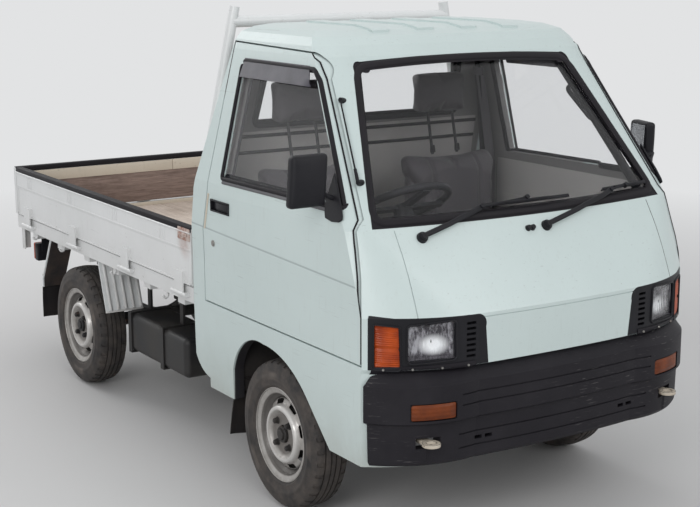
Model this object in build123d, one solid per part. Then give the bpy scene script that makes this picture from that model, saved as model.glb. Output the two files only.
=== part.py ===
from build123d import *
import math
import os

# Kei truck: cab-over, drop-side bed, guard frame behind the cab.
# Millimetres. +Z is up from the ground, the front faces -Y, the driver's side is -X,
# and Y = 0 is halfway along the truck.

os.makedirs("parts", exist_ok=True)

NOSE_Y = -1644


def behind(distance):
    """A place along the truck, by its distance behind the nose."""
    return NOSE_Y + distance


# Running gear
FRONT_AXLE_Y = behind(731)
WHEELBASE = 1839
REAR_AXLE_Y = FRONT_AXLE_Y + WHEELBASE
HALF_TRACK = 607
TYRE_R = 270
TYRE_WIDTH = 144
BEAD_R = 152
RIM_LIP_R = 166
RIM_HALF = 61
RIM_SHEET = 5
STUB_R = 15.5
BORE_GAP = 0.5

# Cab
CAB_HALF = 697
CAB_REAR_Y = behind(1330)
CAB_BOTTOM_Z = 325
WALL = 45
REAR_WALL = 20
ROOF_WALL = 28
SEAT_GAP = 0.3
PANEL_GAP = 6
DOOR_BOTTOM_Z = 663
DOOR_FRONT_Y = behind(160)
DOOR_REAR_Y = behind(1238)
DOOR_TOP_Z = 1628
BELT_Z = 1117
WINDOW_SILL_Z = 1146
SCREEN_BASE_Z = 1083
SCREEN_TOP_Z = 1603
SEAL_WIDTH = 28
GLASS = 5
GLASS_DEPTH = 10
DECK_Z = 610
FLOOR_SHEET = 18
FRONT_RAIL_Z = 395
FRAME_RAIL_HIGH = 90
FOOT_Z = FRONT_RAIL_Z + FRAME_RAIL_HIGH + FLOOR_SHEET
TOE_Y = behind(404)
HOUSING_BACK_Y = FRONT_AXLE_Y + 309
HEEL_Y = behind(494)
NOSE_PANEL_HALF = 545
NOSE_BOTTOM_Z = 490
BEZEL_DEPTH = 26
LAMP_BACK_Y = DOOR_FRONT_Y - 12
SEAM = 3

# The far mirror, folded back
FOLD_ANGLE = 68
FOLD_X = CAB_HALF + 43
FOLD_Y = behind(373)

# Bumper and frame
BUMPER_FRONT_Y = NOSE_Y - 6
BUMPER_END_Y = DOOR_FRONT_Y - 12
BUMPER_BOTTOM_Z = 335
BUMPER_STEP_Z = 482
BUMPER_EDGE_Z = 602
BUMPER_TOP_Z = 650
BUMPER_WALL = 40
CHASSIS_FRONT_Y = BUMPER_FRONT_Y + 90
FRAME_IN = 330
FRAME_OUT = 385
TOW_X = 517
TOW_Z = 406
TOW_BORE = 17
TOW_RING = 30
TOW_Y = BUMPER_FRONT_Y + TOW_RING + 1
ENGINE_REAR_Y = behind(1264)

# Springs and struts
AXLE_SEAT = 34
SPRING_HALF = 430
SPRING_RISE = 112
LEAF = 8
SPRING_END_Z = TYRE_R + AXLE_SEAT + SPRING_RISE + 3 * LEAF
STRUT_LEAN = math.atan2(71, 402)
BALL = (-(HALF_TRACK - 57), FRONT_AXLE_Y, 190)

# Steering wheel
WHEEL_R = 180
WHEEL_CENTRE = (-320, behind(484), 1100)
WHEEL_TILT = 30

# Load bed
BED_FRONT_Y = CAB_REAR_Y + 24
BED_REAR_Y = BED_FRONT_Y + 1886
BED_FLOOR_Z = 668
PLANK = 20
RAIL_TOP_Z = 684
RAIL_BOTTOM_Z = 622
RAIL_HALF = 683
RAIL_WALL = 45
GATE_TOP_Z = 920
GATE_BOTTOM_Z = 690
GATE_HALF = RAIL_HALF + 7
GATE_SHEET = 30
GATE_HINGE_Z = 650
HINGE_R = 8
HINGE_PIN_R = 4
HINGE_OUT = 9
GATE_GAP = 6
FRAME_RAIL_Z = 500
POST_R = 20
GUARD_TOP_Z = 1746
GUARD_BAR_Z = 1690
SILLS = 6
SILL_END = 150
SILL_STEP = (BED_REAR_Y - BED_FRONT_Y - 2 * SILL_END) / (SILLS - 1)
SILL_YS = [BED_FRONT_Y + SILL_END + n * SILL_STEP for n in range(SILLS)]
HINGE_YS = [BED_FRONT_Y + distance for distance in (95, 608, 1175, 1743)]
REAR_HINGE_XS = (-RAIL_HALF + 143, 0, RAIL_HALF - 143)
REAR_GATE_Y = BED_REAR_Y + GATE_GAP
REAR_HINGE_Y = REAR_GATE_Y + GATE_SHEET + HINGE_R + 1
LUG_IN = 37
LUG_OUT = 64


def place_outline(items, place):
    """A closed face. An item is a point, or a pair (via, end) that makes an arc."""
    edges = []
    here = items[0]
    for item in items[1:] + [items[0]]:
        if isinstance(item[0], tuple):
            via, end = item
            edges.append(Edge.make_three_point_arc(place(here), place(via), place(end)))
            here = end
        elif item != here:
            edges.append(Edge.make_line(place(here), place(item)))
            here = item
    return Face(Wire(edges))


def across(items, x0, x1):
    """A side outline, (Y, Z), carried across the truck from x0 to x1."""
    face = place_outline(items, lambda p: Vector(x0, p[0], p[1]))
    return Solid.extrude(face, Vector(x1 - x0, 0, 0))


def along(items, y0, y1):
    """A front outline, (X, Z), carried along the truck from y0 to y1."""
    face = place_outline(items, lambda p: Vector(p[0], y0, p[1]))
    return Solid.extrude(face, Vector(0, y1 - y0, 0))


def upward(items, z0, z1):
    """A plan outline, (X, Y), carried up from z0 to z1."""
    face = place_outline(items, lambda p: Vector(p[0], p[1], z0))
    return Solid.extrude(face, Vector(0, 0, z1 - z0))


def block(x0, x1, y0, y1, z0, z1):
    size = Box(abs(x1 - x0), abs(y1 - y0), abs(z1 - z0))
    return Pos((x0 + x1) / 2, (y0 + y1) / 2, (z0 + z1) / 2) * size


def rod(start, end, radius):
    start = Vector(*start)
    end = Vector(*end)
    plane = Plane(origin=start, z_dir=end - start)
    return Solid.make_cylinder(radius, (end - start).length, plane)


def tube(points, radius, bends):
    """A round bar along straight runs with a bend at each inner point."""
    path = FilletPolyline(*points, radius=bends)
    start = Plane(origin=path @ 0, z_dir=path % 0)
    return sweep(start * Circle(radius), path=path)


def left_of(shape):
    return mirror(shape, Plane.YZ)


def save(name, *shapes):
    solids = [solid for shape in shapes for solid in shape.solids()]
    export_step(Compound(label=name, children=solids), f"parts/{name}.step")


def mirrored_pair(name, *shapes):
    save(name + "_right", *shapes)
    save(name + "_left", *[left_of(shape) for shape in shapes])


# The cab's outer form: level sections from the sill up to the roof's crown.
CAB_SECTIONS = [
    # height, side tuck, nose back, screen corner (x, back), body corner (x, back), side back, rear lean
    (CAB_BOTTOM_Z, 10, 54, (330, 62), (560, 99), 174, 0),
    (640, 3, 44, (340, 54), (560, 99), 166, 0),
    (653, 3, 4, (342, 15), (560, 70), 160, 0),
    (820, 3, 0, (342, 13), (560, 70), 160, 0),
    (936, 0, 77, (456, 97), (602, 136), 199, 0),
    (SCREEN_BASE_Z, 3, 175, (600, 207), (652, 222), 259, 18),
    (BELT_Z, 6, 200, (592, 232), (643, 247), 282, 26),
    (SCREEN_TOP_Z, 119, 550, (448, 580), (520, 592), 624, 132),
    (1637, 129, 582, (430, 612), (505, 627), 659, 138),
    (1665, 149, 619, (410, 647), (490, 662), 689, 148),
    (1683, 192, 679, (370, 699), (450, 712), 739, 166),
    (1693, 257, 754, (310, 772), (385, 782), 804, 196),
]


def cab_section(row, inset, height):
    tuck, nose, screen, corner, side_back, lean = row[1:]
    half = CAB_HALF - tuck - inset
    rear = CAB_REAR_Y - lean - min(inset, REAR_WALL)
    side = (half, NOSE_Y + side_back + 0.3 * inset)
    corner = (corner[0] - 0.6 * inset, NOSE_Y + corner[1] + 0.8 * inset)
    screen = (screen[0] - 0.2 * inset, NOSE_Y + screen[1] + inset)
    nose = (0, NOSE_Y + nose + inset)

    def at(point, flip=1):
        return Vector(flip * point[0], point[1], height)

    return Wire([
        Edge.make_line(at((half, rear), -1), at(side, -1)),
        Edge.make_three_point_arc(at(side, -1), at(corner, -1), at(screen, -1)),
        Edge.make_three_point_arc(at(screen, -1), at(nose), at(screen)),
        Edge.make_three_point_arc(at(screen), at(corner), at(side)),
        Edge.make_line(at(side), at((half, rear))),
        Edge.make_line(at((half, rear)), at((half, rear), -1)),
    ])


def cab_block(inset, roof_inset=0, drop=0):
    """The cab's form as one solid, inset all round. drop opens it below the sill."""
    wires = []
    for row in CAB_SECTIONS:
        height = row[0]
        if row is CAB_SECTIONS[0]:
            height -= drop
        if height >= SCREEN_TOP_Z:
            height -= roof_inset
        wires.append(cab_section(row, inset, height))
    return Solid.make_loft(wires, ruled=True)


CAB_OUTER = cab_block(0)
CAB_INNER = cab_block(WALL, ROOF_WALL, drop=40)
CAB_ROOM = cab_block(WALL + SEAT_GAP, ROOF_WALL + SEAT_GAP, drop=40)
FAR = 900


def cab_skin(depth, thickness):
    """A thin sheet that follows the cab's form, depth below its surface."""
    return cab_block(depth, 0.7 * depth, drop=10) - cab_block(depth + thickness, 0.7 * depth + thickness, drop=20)


def flank(outline, side=-1):
    """The side outline's cutter, kept clear of the windshield and the cab's far side."""
    sweep_in = across(outline, side * 400, side * FAR)
    return sweep_in & along([(side * FAR, 200), (side * 600, 200), (side * 600, 1050), (side * 627, 1088),
                             (side * 482, 1560), (side * 470, 1720), (side * FAR, 1720)],
                            NOSE_Y - 50, CAB_REAR_Y + 300)


def door_outline(gap):
    """The door seen from the side, drawn gap larger all round."""
    front = DOOR_FRONT_Y + PANEL_GAP / 2 - gap
    rear = DOOR_REAR_Y - PANEL_GAP / 2 + gap
    return [
        (front, DOOR_BOTTOM_Z - gap),
        (front, 820),
        (front + 24, 936),
        (front + 82, BELT_Z),
        (front + 392, 1536),
        ((front + 420, 1580), (front + 478, DOOR_TOP_Z - 11 + gap)),
        (rear - 48, DOOR_TOP_Z + gap),
        (rear - 34, SCREEN_BASE_Z),
        (rear, 936),
        (rear, DOOR_BOTTOM_Z - gap),
    ]


def window_outline(grow):
    """The door window's opening, drawn grow larger all round."""
    return [
        (behind(296) - grow, WINDOW_SILL_Z + 8 - grow),
        (behind(580) - grow, 1528),
        ((behind(594), 1549 + grow), (behind(626), 1556 + grow)),
        (behind(1084), 1560 + grow),
        ((behind(1097) + grow, 1555 + grow), (behind(1100) + grow, 1542)),
        (behind(1096) + grow, WINDOW_SILL_Z - grow),
    ]


def arch_outline():
    """The wheel arch in the cab's side, open downwards."""
    hub = FRONT_AXLE_Y
    return [
        (hub + 301, CAB_BOTTOM_Z - 60),
        (hub + 300, 440),
        ((hub + 233, 545), (hub + 68, 591)),
        ((hub - 72, 568), (hub - 220, 474)),
        (hub - 367, CAB_BOTTOM_Z),
        (hub - 400, CAB_BOTTOM_Z - 60),
    ]


def screen_outline(grow):
    """The windshield's opening from the front."""
    return [
        (-619 - grow, SCREEN_BASE_Z + 5 - grow),
        ((0, SCREEN_BASE_Z - 1 - grow), (619 + grow, SCREEN_BASE_Z + 5 - grow)),
        (470 + grow, 1560),
        ((462 + grow, 1580 + grow), (436 + grow, 1586 + grow)),
        ((0, SCREEN_TOP_Z - 3 + grow), (-436 - grow, 1586 + grow)),
        ((-462 - grow, 1580 + grow), (-470 - grow, 1560)),
    ]


def screen_cutter(grow):
    """The windshield outline's cutter, kept clear of the roof and the doors."""
    front = across([(NOSE_Y - 50, 1040), (behind(309), 1040), (behind(669), 1640), (NOSE_Y - 50, 1640)],
                   -FAR, FAR)
    return along(screen_outline(grow), NOSE_Y - 50, behind(744)) & front


def rear_window_outline(grow):
    return [
        (-470 - grow, 1310 - grow),
        (470 + grow, 1310 - grow),
        (440 + grow, 1555 + grow),
        (-440 - grow, 1555 + grow),
    ]


def bezel_outline():
    """The black lamp surround that wraps the right front corner, from the front."""
    edge = -CAB_HALF - 20
    return [(-302, 653), (-314, 775), ((-321, 808), (-346, 820)), (-609, 822), (-669, 830), (edge, 832), (edge, 653)]


HEADLAMP = [(-429, 806), (-574, 798), (-574, 681), (-427, 684)]
CORNER_LAMP = [(-599, 792), (-663, 802), (-663, 657), (-595, 664)]


def cab_shell():
    shell = CAB_OUTER - CAB_INNER
    for side in (-1, 1):
        shell -= flank(door_outline(PANEL_GAP / 2), side)
        shell -= across(arch_outline(), side * 400, side * FAR)
        shell -= across([(behind(1219), 300), (behind(1219), 362), ((behind(1309), 405), (behind(1342), 541)),
                         (behind(1394), 541), (behind(1394), 300)], side * 300, side * FAR)
    shell -= screen_cutter(0)
    half = NOSE_PANEL_HALF
    shell -= block(-half, half, NOSE_Y - 50, behind(344), CAB_BOTTOM_Z - 50, NOSE_BOTTOM_Z)
    shell -= block(-600, 600, CAB_REAR_Y - 100, CAB_REAR_Y + 300, CAB_BOTTOM_Z - 50, DECK_Z - FLOOR_SHEET)
    shell -= along(rear_window_outline(0), CAB_REAR_Y - 286, CAB_REAR_Y + 50)
    recess = along(bezel_outline(), NOSE_Y - 50, LAMP_BACK_Y) - cab_block(BEZEL_DEPTH, 0, 10)
    shell -= recess
    shell -= left_of(recess)
    paint_skin = CAB_OUTER - cab_block(SEAM, SEAM, 10)
    seams = block(-330, 330, NOSE_Y - 50, behind(60), 806, 806 + SEAM)
    for side in (-1, 1):
        x = side * half
        seams += block(x - SEAM / 2, x + SEAM / 2, NOSE_Y - 50, behind(344), 815, SCREEN_BASE_Z - 4)
    shell -= paint_skin & seams
    return shell


def cab_panels():
    shell = cab_shell()
    roof_back = CAB_REAR_Y + 114
    roof_zone = across([(behind(344), SCREEN_TOP_Z + 1), (behind(554), SCREEN_TOP_Z + 1), (behind(614), 1634),
                        (roof_back, 1634), (roof_back, 1800), (behind(344), 1800)], -FAR, FAR)
    nose_zone = block(-NOSE_PANEL_HALF, NOSE_PANEL_HALF, NOSE_Y - 50, behind(344), CAB_BOTTOM_Z - 50,
                      SCREEN_BASE_Z + 4)
    rear_zone = across([(CAB_REAR_Y + 40, 250), (CAB_REAR_Y - WALL, 250), (CAB_REAR_Y - WALL, 1000),
                        (CAB_REAR_Y - WALL - 138, 1634), (CAB_REAR_Y + 40, 1634)], -640, 640)
    ribs = []
    for x in (-285, -95, 95, 285):
        strip = block(x - 35, x + 35, behind(664), behind(1104), 1600, 1800)
        ribs.append((cab_block(-6, -6) - CAB_OUTER) & strip)
    roof = shell & roof_zone
    for rib in ribs:
        roof += rib
    save("roof_panel", roof)
    save("nose_panel", shell & nose_zone)
    save("rear_wall", shell & rear_zone)
    rest = shell - roof_zone - nose_zone - rear_zone
    side_zone = block(-FAR, 0, NOSE_Y - 300, CAB_REAR_Y + 300, 0, 2000)
    side = rest & side_zone
    mirrored_pair("cab_side", side)


def doors():
    wall = CAB_OUTER - CAB_INNER
    panel = wall & flank(door_outline(-PANEL_GAP / 2))
    panel -= flank(window_outline(0))
    panel -= block(-FAR, -CAB_HALF + 18, behind(1031), behind(1169), 1017, 1057)
    mirrored_pair("door", panel)
    glass = cab_skin(GLASS_DEPTH, GLASS) & flank(window_outline(0))
    mirrored_pair("door_glass", glass)


def mirrors():
    """The driver's mirror stands out. The far one is folded back beside its window."""
    plate = (cab_block(-6, -6) - CAB_OUTER) & flank(
        [(behind(292), 1160), (behind(414), 1160), (behind(354), 1240)])
    arm = rod((-CAB_HALF + 21, behind(354), 1180), (-CAB_HALF - 43, behind(346), 1215), 12) - CAB_OUTER
    head = along([(-CAB_HALF - 153, 1150), (-CAB_HALF - 143, 1325), (-CAB_HALF - 25, 1330), (-CAB_HALF - 15, 1150)],
                 behind(319), behind(374))
    head = fillet(head.edges(), 14)
    save("mirror_right", head + arm + plate)
    hinge = Pos(FOLD_X, FOLD_Y, 0)
    folded = hinge * Rot(Z=FOLD_ANGLE) * Pos(-CAB_HALF - 5, -behind(346), 0) * left_of(head)
    far_arm = rod((CAB_HALF - 21, behind(354), 1180), (FOLD_X + 6, FOLD_Y, 1207), 12) - CAB_OUTER
    save("mirror_left", folded + far_arm + left_of(plate))


def glazing():
    screen = screen_cutter(-SEAL_WIDTH)
    opening = screen_cutter(0)
    save("windshield", cab_skin(GLASS_DEPTH, GLASS) & screen)
    seal = cab_skin(2, 22) & (opening - screen)
    rear_light = along(rear_window_outline(-18), CAB_REAR_Y - 286, CAB_REAR_Y + 50)
    rear_opening = along(rear_window_outline(0), CAB_REAR_Y - 286, CAB_REAR_Y + 50)
    save("rear_window", cab_skin(GLASS_DEPTH, GLASS) & rear_light)
    rear_seal = cab_skin(2, 22) & (rear_opening - rear_light)
    save("window_seals", seal, rear_seal)


def lamps():
    surround = cab_skin(1, BEZEL_DEPTH - 1) & along(bezel_outline(), NOSE_Y - 50, LAMP_BACK_Y)
    headlamp_hole = along(HEADLAMP, NOSE_Y - 50, LAMP_BACK_Y)
    corner_hole = along(CORNER_LAMP, NOSE_Y - 50, LAMP_BACK_Y)
    slots = [
        along([(-386, z), (-352, z), (-352, z + 9), (-386, z + 9)], NOSE_Y - 50, LAMP_BACK_Y)
        for z in range(680, 800, 18)
    ]
    pocket = (headlamp_hole + corner_hole) & cab_block(-20, 0, 10)
    body = surround - (pocket - cab_block(BEZEL_DEPTH - 4, 0, 10))
    for slot in slots:
        body -= slot - cab_block(BEZEL_DEPTH - 8, 0, 10)
    headlamp = cab_skin(3, BEZEL_DEPTH - 8) & headlamp_hole
    corner = cab_skin(3, BEZEL_DEPTH - 8) & corner_hole
    save("lamp_bezels", body, left_of(body))
    save("headlamps", headlamp, left_of(headlamp))
    x0, x1, z0, z1 = INDICATOR
    indicator = block(-x1 + 2, -x0 - 2, BUMPER_FRONT_Y - 50, CHASSIS_FRONT_Y, z0 + 2, z1 - 2)
    indicator &= bumper_plan(1, z0, z1) - bumper_plan(18 - SEAT_GAP, z0, z1)
    save("amber_lamps", corner, left_of(corner), indicator, left_of(indicator))


# The bumper's front face: height and how far it sits back, from the bottom up.
BUMPER_SECTIONS = [
    (BUMPER_BOTTOM_Z, 24),
    (BUMPER_BOTTOM_Z + 12, 17),
    (BUMPER_STEP_Z - 8, 14),
    (BUMPER_STEP_Z, 0),
    (BUMPER_EDGE_Z, 0),
    (BUMPER_EDGE_Z + 8, 8),
    (BUMPER_TOP_Z, 44),
]
INDICATOR = (431, 582, 490, 548)


def bumper_outline(inset):
    """The bumper in plan, its rear closed at the body."""
    front = BUMPER_FRONT_Y + inset
    half = CAB_HALF - 1 - inset
    corner = CAB_HALF - 112 - 0.6 * inset
    return [
        (-half, BUMPER_END_Y),
        ((-corner, front + 56), (-340, front + 16)),
        ((0, front), (340, front + 16)),
        ((corner, front + 56), (half, BUMPER_END_Y)),
    ]


def bumper_plan(inset, z0, z1):
    return upward(bumper_outline(inset), z0, z1)


def bumper_form(inset):
    """The bumper's whole front as a solid, this much smaller all round."""
    wires = []
    for height, back in BUMPER_SECTIONS:
        if inset and height == BUMPER_BOTTOM_Z:
            height -= 1
        if inset and height == BUMPER_TOP_Z:
            height += 1
        face = place_outline(bumper_outline(back + inset), lambda p: Vector(p[0], p[1], height))
        wires.append(face.outer_wire())
    return Solid.make_loft(wires, ruled=True)


def bumper():
    whole = bumper_form(0) - bumper_form(BUMPER_WALL)
    face_band = bumper_form(0) - bumper_form(4)
    for z in (378, 425, 527, 563):
        whole -= face_band & block(-410, 410, BUMPER_FRONT_Y - 5, CHASSIS_FRONT_Y, z, z + 5)
    x0, x1, z0, z1 = INDICATOR
    for side in (-1, 1):
        pocket = block(side * x0, side * x1, BUMPER_FRONT_Y - 50, CHASSIS_FRONT_Y, z0, z1)
        whole -= pocket & (bumper_plan(-2, z0 - 10, z1 + 12) - bumper_plan(18, z0 - 10, z1 + 12))
        whole -= block(side * (TOW_X - 39), side * (TOW_X + 39), BUMPER_FRONT_Y - 50, LAMP_BACK_Y - 4,
                       TOW_Z - 12, TOW_Z + 24)
        whole -= rod((side * TOW_X, TOW_Y, BUMPER_BOTTOM_Z - 5), (side * TOW_X, TOW_Y, TOW_Z), TOW_BORE + 3)
    for x in (-330, -290, 290, 330):
        whole -= block(x - 14, x + 14, BUMPER_FRONT_Y - 50, CHASSIS_FRONT_Y, 398, 410)
    whole -= cab_block(-3, -3, 10)
    for side in (-1, 1):
        whole += block(side * 340, side * 375, CHASSIS_FRONT_Y - 30, CHASSIS_FRONT_Y, 420, 470)
    save("bumper", whole)


def chassis():
    low, high, up = FRONT_RAIL_Z, FRONT_RAIL_Z + FRAME_RAIL_HIGH, FRAME_RAIL_Z
    kick, end = BED_FRONT_Y, BED_REAR_Y - 36
    rail = across([(CHASSIS_FRONT_Y, low), (kick + 40, low), (kick + 160, up), (end, up), (end, up + FRAME_RAIL_HIGH),
                   (kick + 110, up + FRAME_RAIL_HIGH), (kick - 10, high), (CHASSIS_FRONT_Y, high)],
                  FRAME_IN, FRAME_OUT)
    frame = rail + left_of(rail)
    cross_ys = [CHASSIS_FRONT_Y + 30, behind(394), behind(884)] + [kick + d for d in (350, 850, 1530, 1810)]
    for y in cross_ys:
        z = low + 20 if y < kick else up + 20
        frame += block(-FRAME_IN - 10, FRAME_IN + 10, y - 25, y + 25, z, z + 50)
    frame += block(-250, 250, FRONT_AXLE_Y - 40, FRONT_AXLE_Y + 40, 190, 240)
    for side in (-1, 1):
        frame += across([(FRONT_AXLE_Y - 40, 200), (FRONT_AXLE_Y + 40, 200), (FRONT_AXLE_Y + 40, low + 5),
                         (FRONT_AXLE_Y - 40, low + 5)], side * 200, side * 250)
        frame += block(side * 200, side * (FRAME_IN + 15), FRONT_AXLE_Y - 40, FRONT_AXLE_Y + 40, low, low + 40)
        for y in (REAR_AXLE_Y - SPRING_HALF, REAR_AXLE_Y + SPRING_HALF):
            frame += block(side * (FRAME_IN + 5), side * (FRAME_OUT - 5), y - 22, y + 22, SPRING_END_Z, up + 5)
        ring = Solid.make_cylinder(TOW_RING, 12) - Solid.make_cylinder(TOW_BORE, 12)
        frame += Pos(side * TOW_X, TOW_Y, TOW_Z) * ring
        frame += block(side * (TOW_X - 17), side * (TOW_X + 17), TOW_Y + 24, CHASSIS_FRONT_Y + 60, TOW_Z, TOW_Z + 12)
        frame += block(side * (FRAME_OUT - 5), side * (TOW_X + 17), CHASSIS_FRONT_Y + 25, CHASSIS_FRONT_Y + 60,
                       TOW_Z, TOW_Z + 12)
    save("chassis_frame", frame)


def cab_floor():
    half = CAB_HALF - WALL - 4
    t = FLOOR_SHEET
    back = CAB_REAR_Y - WALL
    step = [(TOE_Y, FOOT_Z), (HEEL_Y, DECK_Z), (back, DECK_Z), (back, DECK_Z - t), (HEEL_Y + 8, DECK_Z - t),
            (TOE_Y + 8, FOOT_Z - t)]
    front = behind(100)
    floor = across(step + [(front, FOOT_Z - t), (front, FOOT_Z)], -560, 560)
    front = behind(204)
    floor += across(step + [(front, FOOT_Z - t), (front, FOOT_Z)], -half, half)
    arch = FRONT_AXLE_Y - 397
    for side in (-1, 1):
        floor += across([(arch, 330), (arch + 14, 330), (arch + 82, FOOT_Z - t + 4), (arch + 68, FOOT_Z - t + 4)],
                        side * 430, side * half)
        floor += block(side * 430, side * half, HOUSING_BACK_Y, HOUSING_BACK_Y + 12, 345, DECK_Z - t + 4)
    save("cab_floor", floor & CAB_ROOM)


def engine():
    top = DECK_Z - FLOOR_SHEET - 20
    core = block(-190, 190, ENGINE_REAR_Y - 320, ENGINE_REAR_Y, 300, top)
    mounts = block(-FRAME_IN, FRAME_IN, ENGINE_REAR_Y - 160, ENGINE_REAR_Y - 100, 400, 440)
    save("engine", core + mounts)


def rear_axle():
    y = REAR_AXLE_Y
    z = TYRE_R
    tube_ = rod((-HALF_TRACK + 44, y, z), (HALF_TRACK - 44, y, z), 30)
    ball = Pos(0, y, z) * Sphere(95)
    axle = tube_ + ball
    for side in (-1, 1):
        axle += rod((side * (HALF_TRACK - 44), y, z), (side * (HALF_TRACK - 36), y, z), 100)
        axle += rod((side * (HALF_TRACK - 44), y, z), (side * (HALF_TRACK + 5), y, z), STUB_R)
        axle += block(side * (FRAME_IN + 5), side * (FRAME_OUT - 5), y - 50, y + 50, z + 20, z + AXLE_SEAT)
    shaft = rod((0, y - 60, z), (0, ENGINE_REAR_Y - 20, 420), 26)
    axle += shaft - block(-60, 60, ENGINE_REAR_Y - 200, ENGINE_REAR_Y, 300, 500)
    save("rear_axle", axle)


def leaf_springs():
    y = REAR_AXLE_Y
    seat = TYRE_R + AXLE_SEAT
    leaves = []
    for n, half in enumerate((SPRING_HALF, 330, 220)):
        lift = SPRING_RISE * (half / SPRING_HALF) ** 2
        low = seat + (2 - n) * LEAF
        leaves.append(across([
            (y - half, low + lift),
            ((y, low), (y + half, low + lift)),
            (y + half, low + lift + LEAF),
            ((y, low + LEAF), (y - half, low + lift + LEAF)),
        ], FRAME_IN + 8, FRAME_OUT - 8))
    spring = leaves[0]
    for leaf in leaves[1:]:
        spring += leaf
    save("leaf_springs", spring, left_of(spring))


def on_strut(height):
    """A point on the right steering axis at this height."""
    return (BALL[0] + math.tan(STRUT_LEAN) * (height - BALL[2]), FRONT_AXLE_Y, height)


def front_suspension():
    top = DECK_Z - FLOOR_SHEET
    shaft = rod(on_strut(345), on_strut(top - 12), 20)
    cap = rod((on_strut(top)[0], FRONT_AXLE_Y, top - 14), (on_strut(top)[0], FRONT_AXLE_Y, top), 42)
    arm = upward([(-250, FRONT_AXLE_Y - 40), (-250, FRONT_AXLE_Y + 40), (BALL[0] - 18, FRONT_AXLE_Y + 18),
                  (BALL[0] - 18, FRONT_AXLE_Y - 18)], 160, 172)
    arm += block(-262, -250, FRONT_AXLE_Y - 40, FRONT_AXLE_Y + 40, 160, 230)
    arm += rod(on_strut(168), on_strut(215), 8)
    save("front_suspension", shaft + cap, left_of(shaft + cap), arm, left_of(arm))


def knuckles():
    hub_x = -HALF_TRACK
    z = TYRE_R
    y = FRONT_AXLE_Y
    body = block(hub_x + 44, hub_x + 84, y - 32, y + 32, 186, 330)
    body += rod((hub_x + 44, y, z), (hub_x + 36, y, z), 92)
    body += rod((hub_x + 44, y, z), (hub_x - 5, y, z), STUB_R)
    body += rod(on_strut(330), on_strut(392), 31)
    body += rod(on_strut(186), on_strut(226), 18)
    body += block(hub_x + 60, hub_x + 80, y + 20, y + 130, 236, 256)
    body -= rod(on_strut(338), on_strut(420), 20 + BORE_GAP)
    body -= rod(on_strut(176), on_strut(219), 8 + BORE_GAP)
    mirrored_pair("knuckle", body)


def wheels():
    """Rim and tyre about the X axis, outboard towards -X, then set at each hub."""
    lip, bead, half, t = RIM_LIP_R, BEAD_R, RIM_HALF, RIM_SHEET
    well = 132
    outer = [(half, lip), (half - 5, lip), (half - 7, bead), (half - 20, bead - 1), (half - 29, well),
             (-half + 33, well), (-half + 21, bead - 1), (-half + 7, bead), (-half + 5, lip), (-half, lip)]
    inner = [(-half, bead - t), (-half + 19, bead - t), (-half + 31, well - t), (22, well - t), (18, 118),
             (20, 100), (31, 84), (34, 66), (20, 48), (20, 26), (25, 26), (26, 52), (40, 68), (37, 88),
             (26, 102), (24, 116), (31, well - t), (half - 29, well - t), (half - 18, bead - t),
             (half, bead - t)]
    face = Face(Wire.make_polygon([Vector(-a, r, 0) for a, r in outer + inner], close=True))
    rim = Solid.revolve(face, 360, Axis.X)
    hole = Solid.extrude(Face(Wire.make_circle(12, Plane((-60, 103, 0), z_dir=(1, 0, 0)))), Vector(60, 0, 0))
    for n in range(8):
        rim -= Rot(X=45 * n + 22.5) * hole
    drum = rod((30, 0, 0), (-20, 0, 0), 90) - rod((30, 0, 0), (-6, 0, 0), 82)
    hub = rod((30, 0, 0), (-25, 0, 0), 30) + drum
    hub -= rod((31, 0, 0), (-10, 0, 0), STUB_R + BORE_GAP)
    wheel = rim + hub
    tread = TYRE_WIDTH / 2
    section = [
        (-half + 8, bead + 0.5), (half - 8, bead + 0.5),
        ((tread, (bead + TYRE_R) / 2 + 4), (tread - 14, TYRE_R - 8)),
        ((0, TYRE_R), (-tread + 14, TYRE_R - 8)),
        ((-tread, (bead + TYRE_R) / 2 + 4), (-half + 8, bead + 0.5)),
    ]
    tyre_face = place_outline(section, lambda p: Vector(p[0], p[1], 0))
    tyre = Solid.revolve(tyre_face, 360, Axis.X) - rim
    for corner, y in (("front", FRONT_AXLE_Y), ("rear", REAR_AXLE_Y)):
        for label, solid in (("rim_", wheel), ("tyre_", tyre)):
            placed = Pos(-HALF_TRACK, y, TYRE_R) * solid
            mirrored_pair(label + corner, placed)


def steering():
    plane = Plane(origin=WHEEL_CENTRE, x_dir=(1, 0, 0),
                  z_dir=(0, math.sin(math.radians(WHEEL_TILT)), math.cos(math.radians(WHEEL_TILT))))
    ring = Torus(WHEEL_R - 13, 13)
    hub = Pos(0, 0, -28) * Cylinder(34, 50)
    spokes = Pos(0, 0, -12) * Box(2 * (WHEEL_R - 14), 34, 12) + Pos(0, -(WHEEL_R - 14) / 2, -12) * Box(34, WHEEL_R - 14, 12)
    wheel = ring + hub + spokes
    wheel -= Pos(0, 0, -45) * Cylinder(9.5, 40)
    save("steering_wheel", plane * wheel)
    column = Pos(0, 0, -192) * Cylinder(24, 256) + Pos(0, 0, -46) * Cylinder(9, 36) + Pos(0, 0, -500) * Cylinder(12, 460)
    x, y = WHEEL_CENTRE[:2]
    column = plane * column + block(x - 25, x + 25, y - 260, y - 110, 880, 930)
    column -= dashboard_body()
    save("steering_column", column - block(x - 80, x + 80, NOSE_Y - 50, y - 140, 300, FOOT_Z))


def dashboard_body():
    body = across([(behind(20), 800), (behind(244), 760), (behind(274), 960), (behind(304), 1010),
                   (behind(274), 1058), (behind(144), 1052)], -548, 548)
    return body & CAB_ROOM


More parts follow.
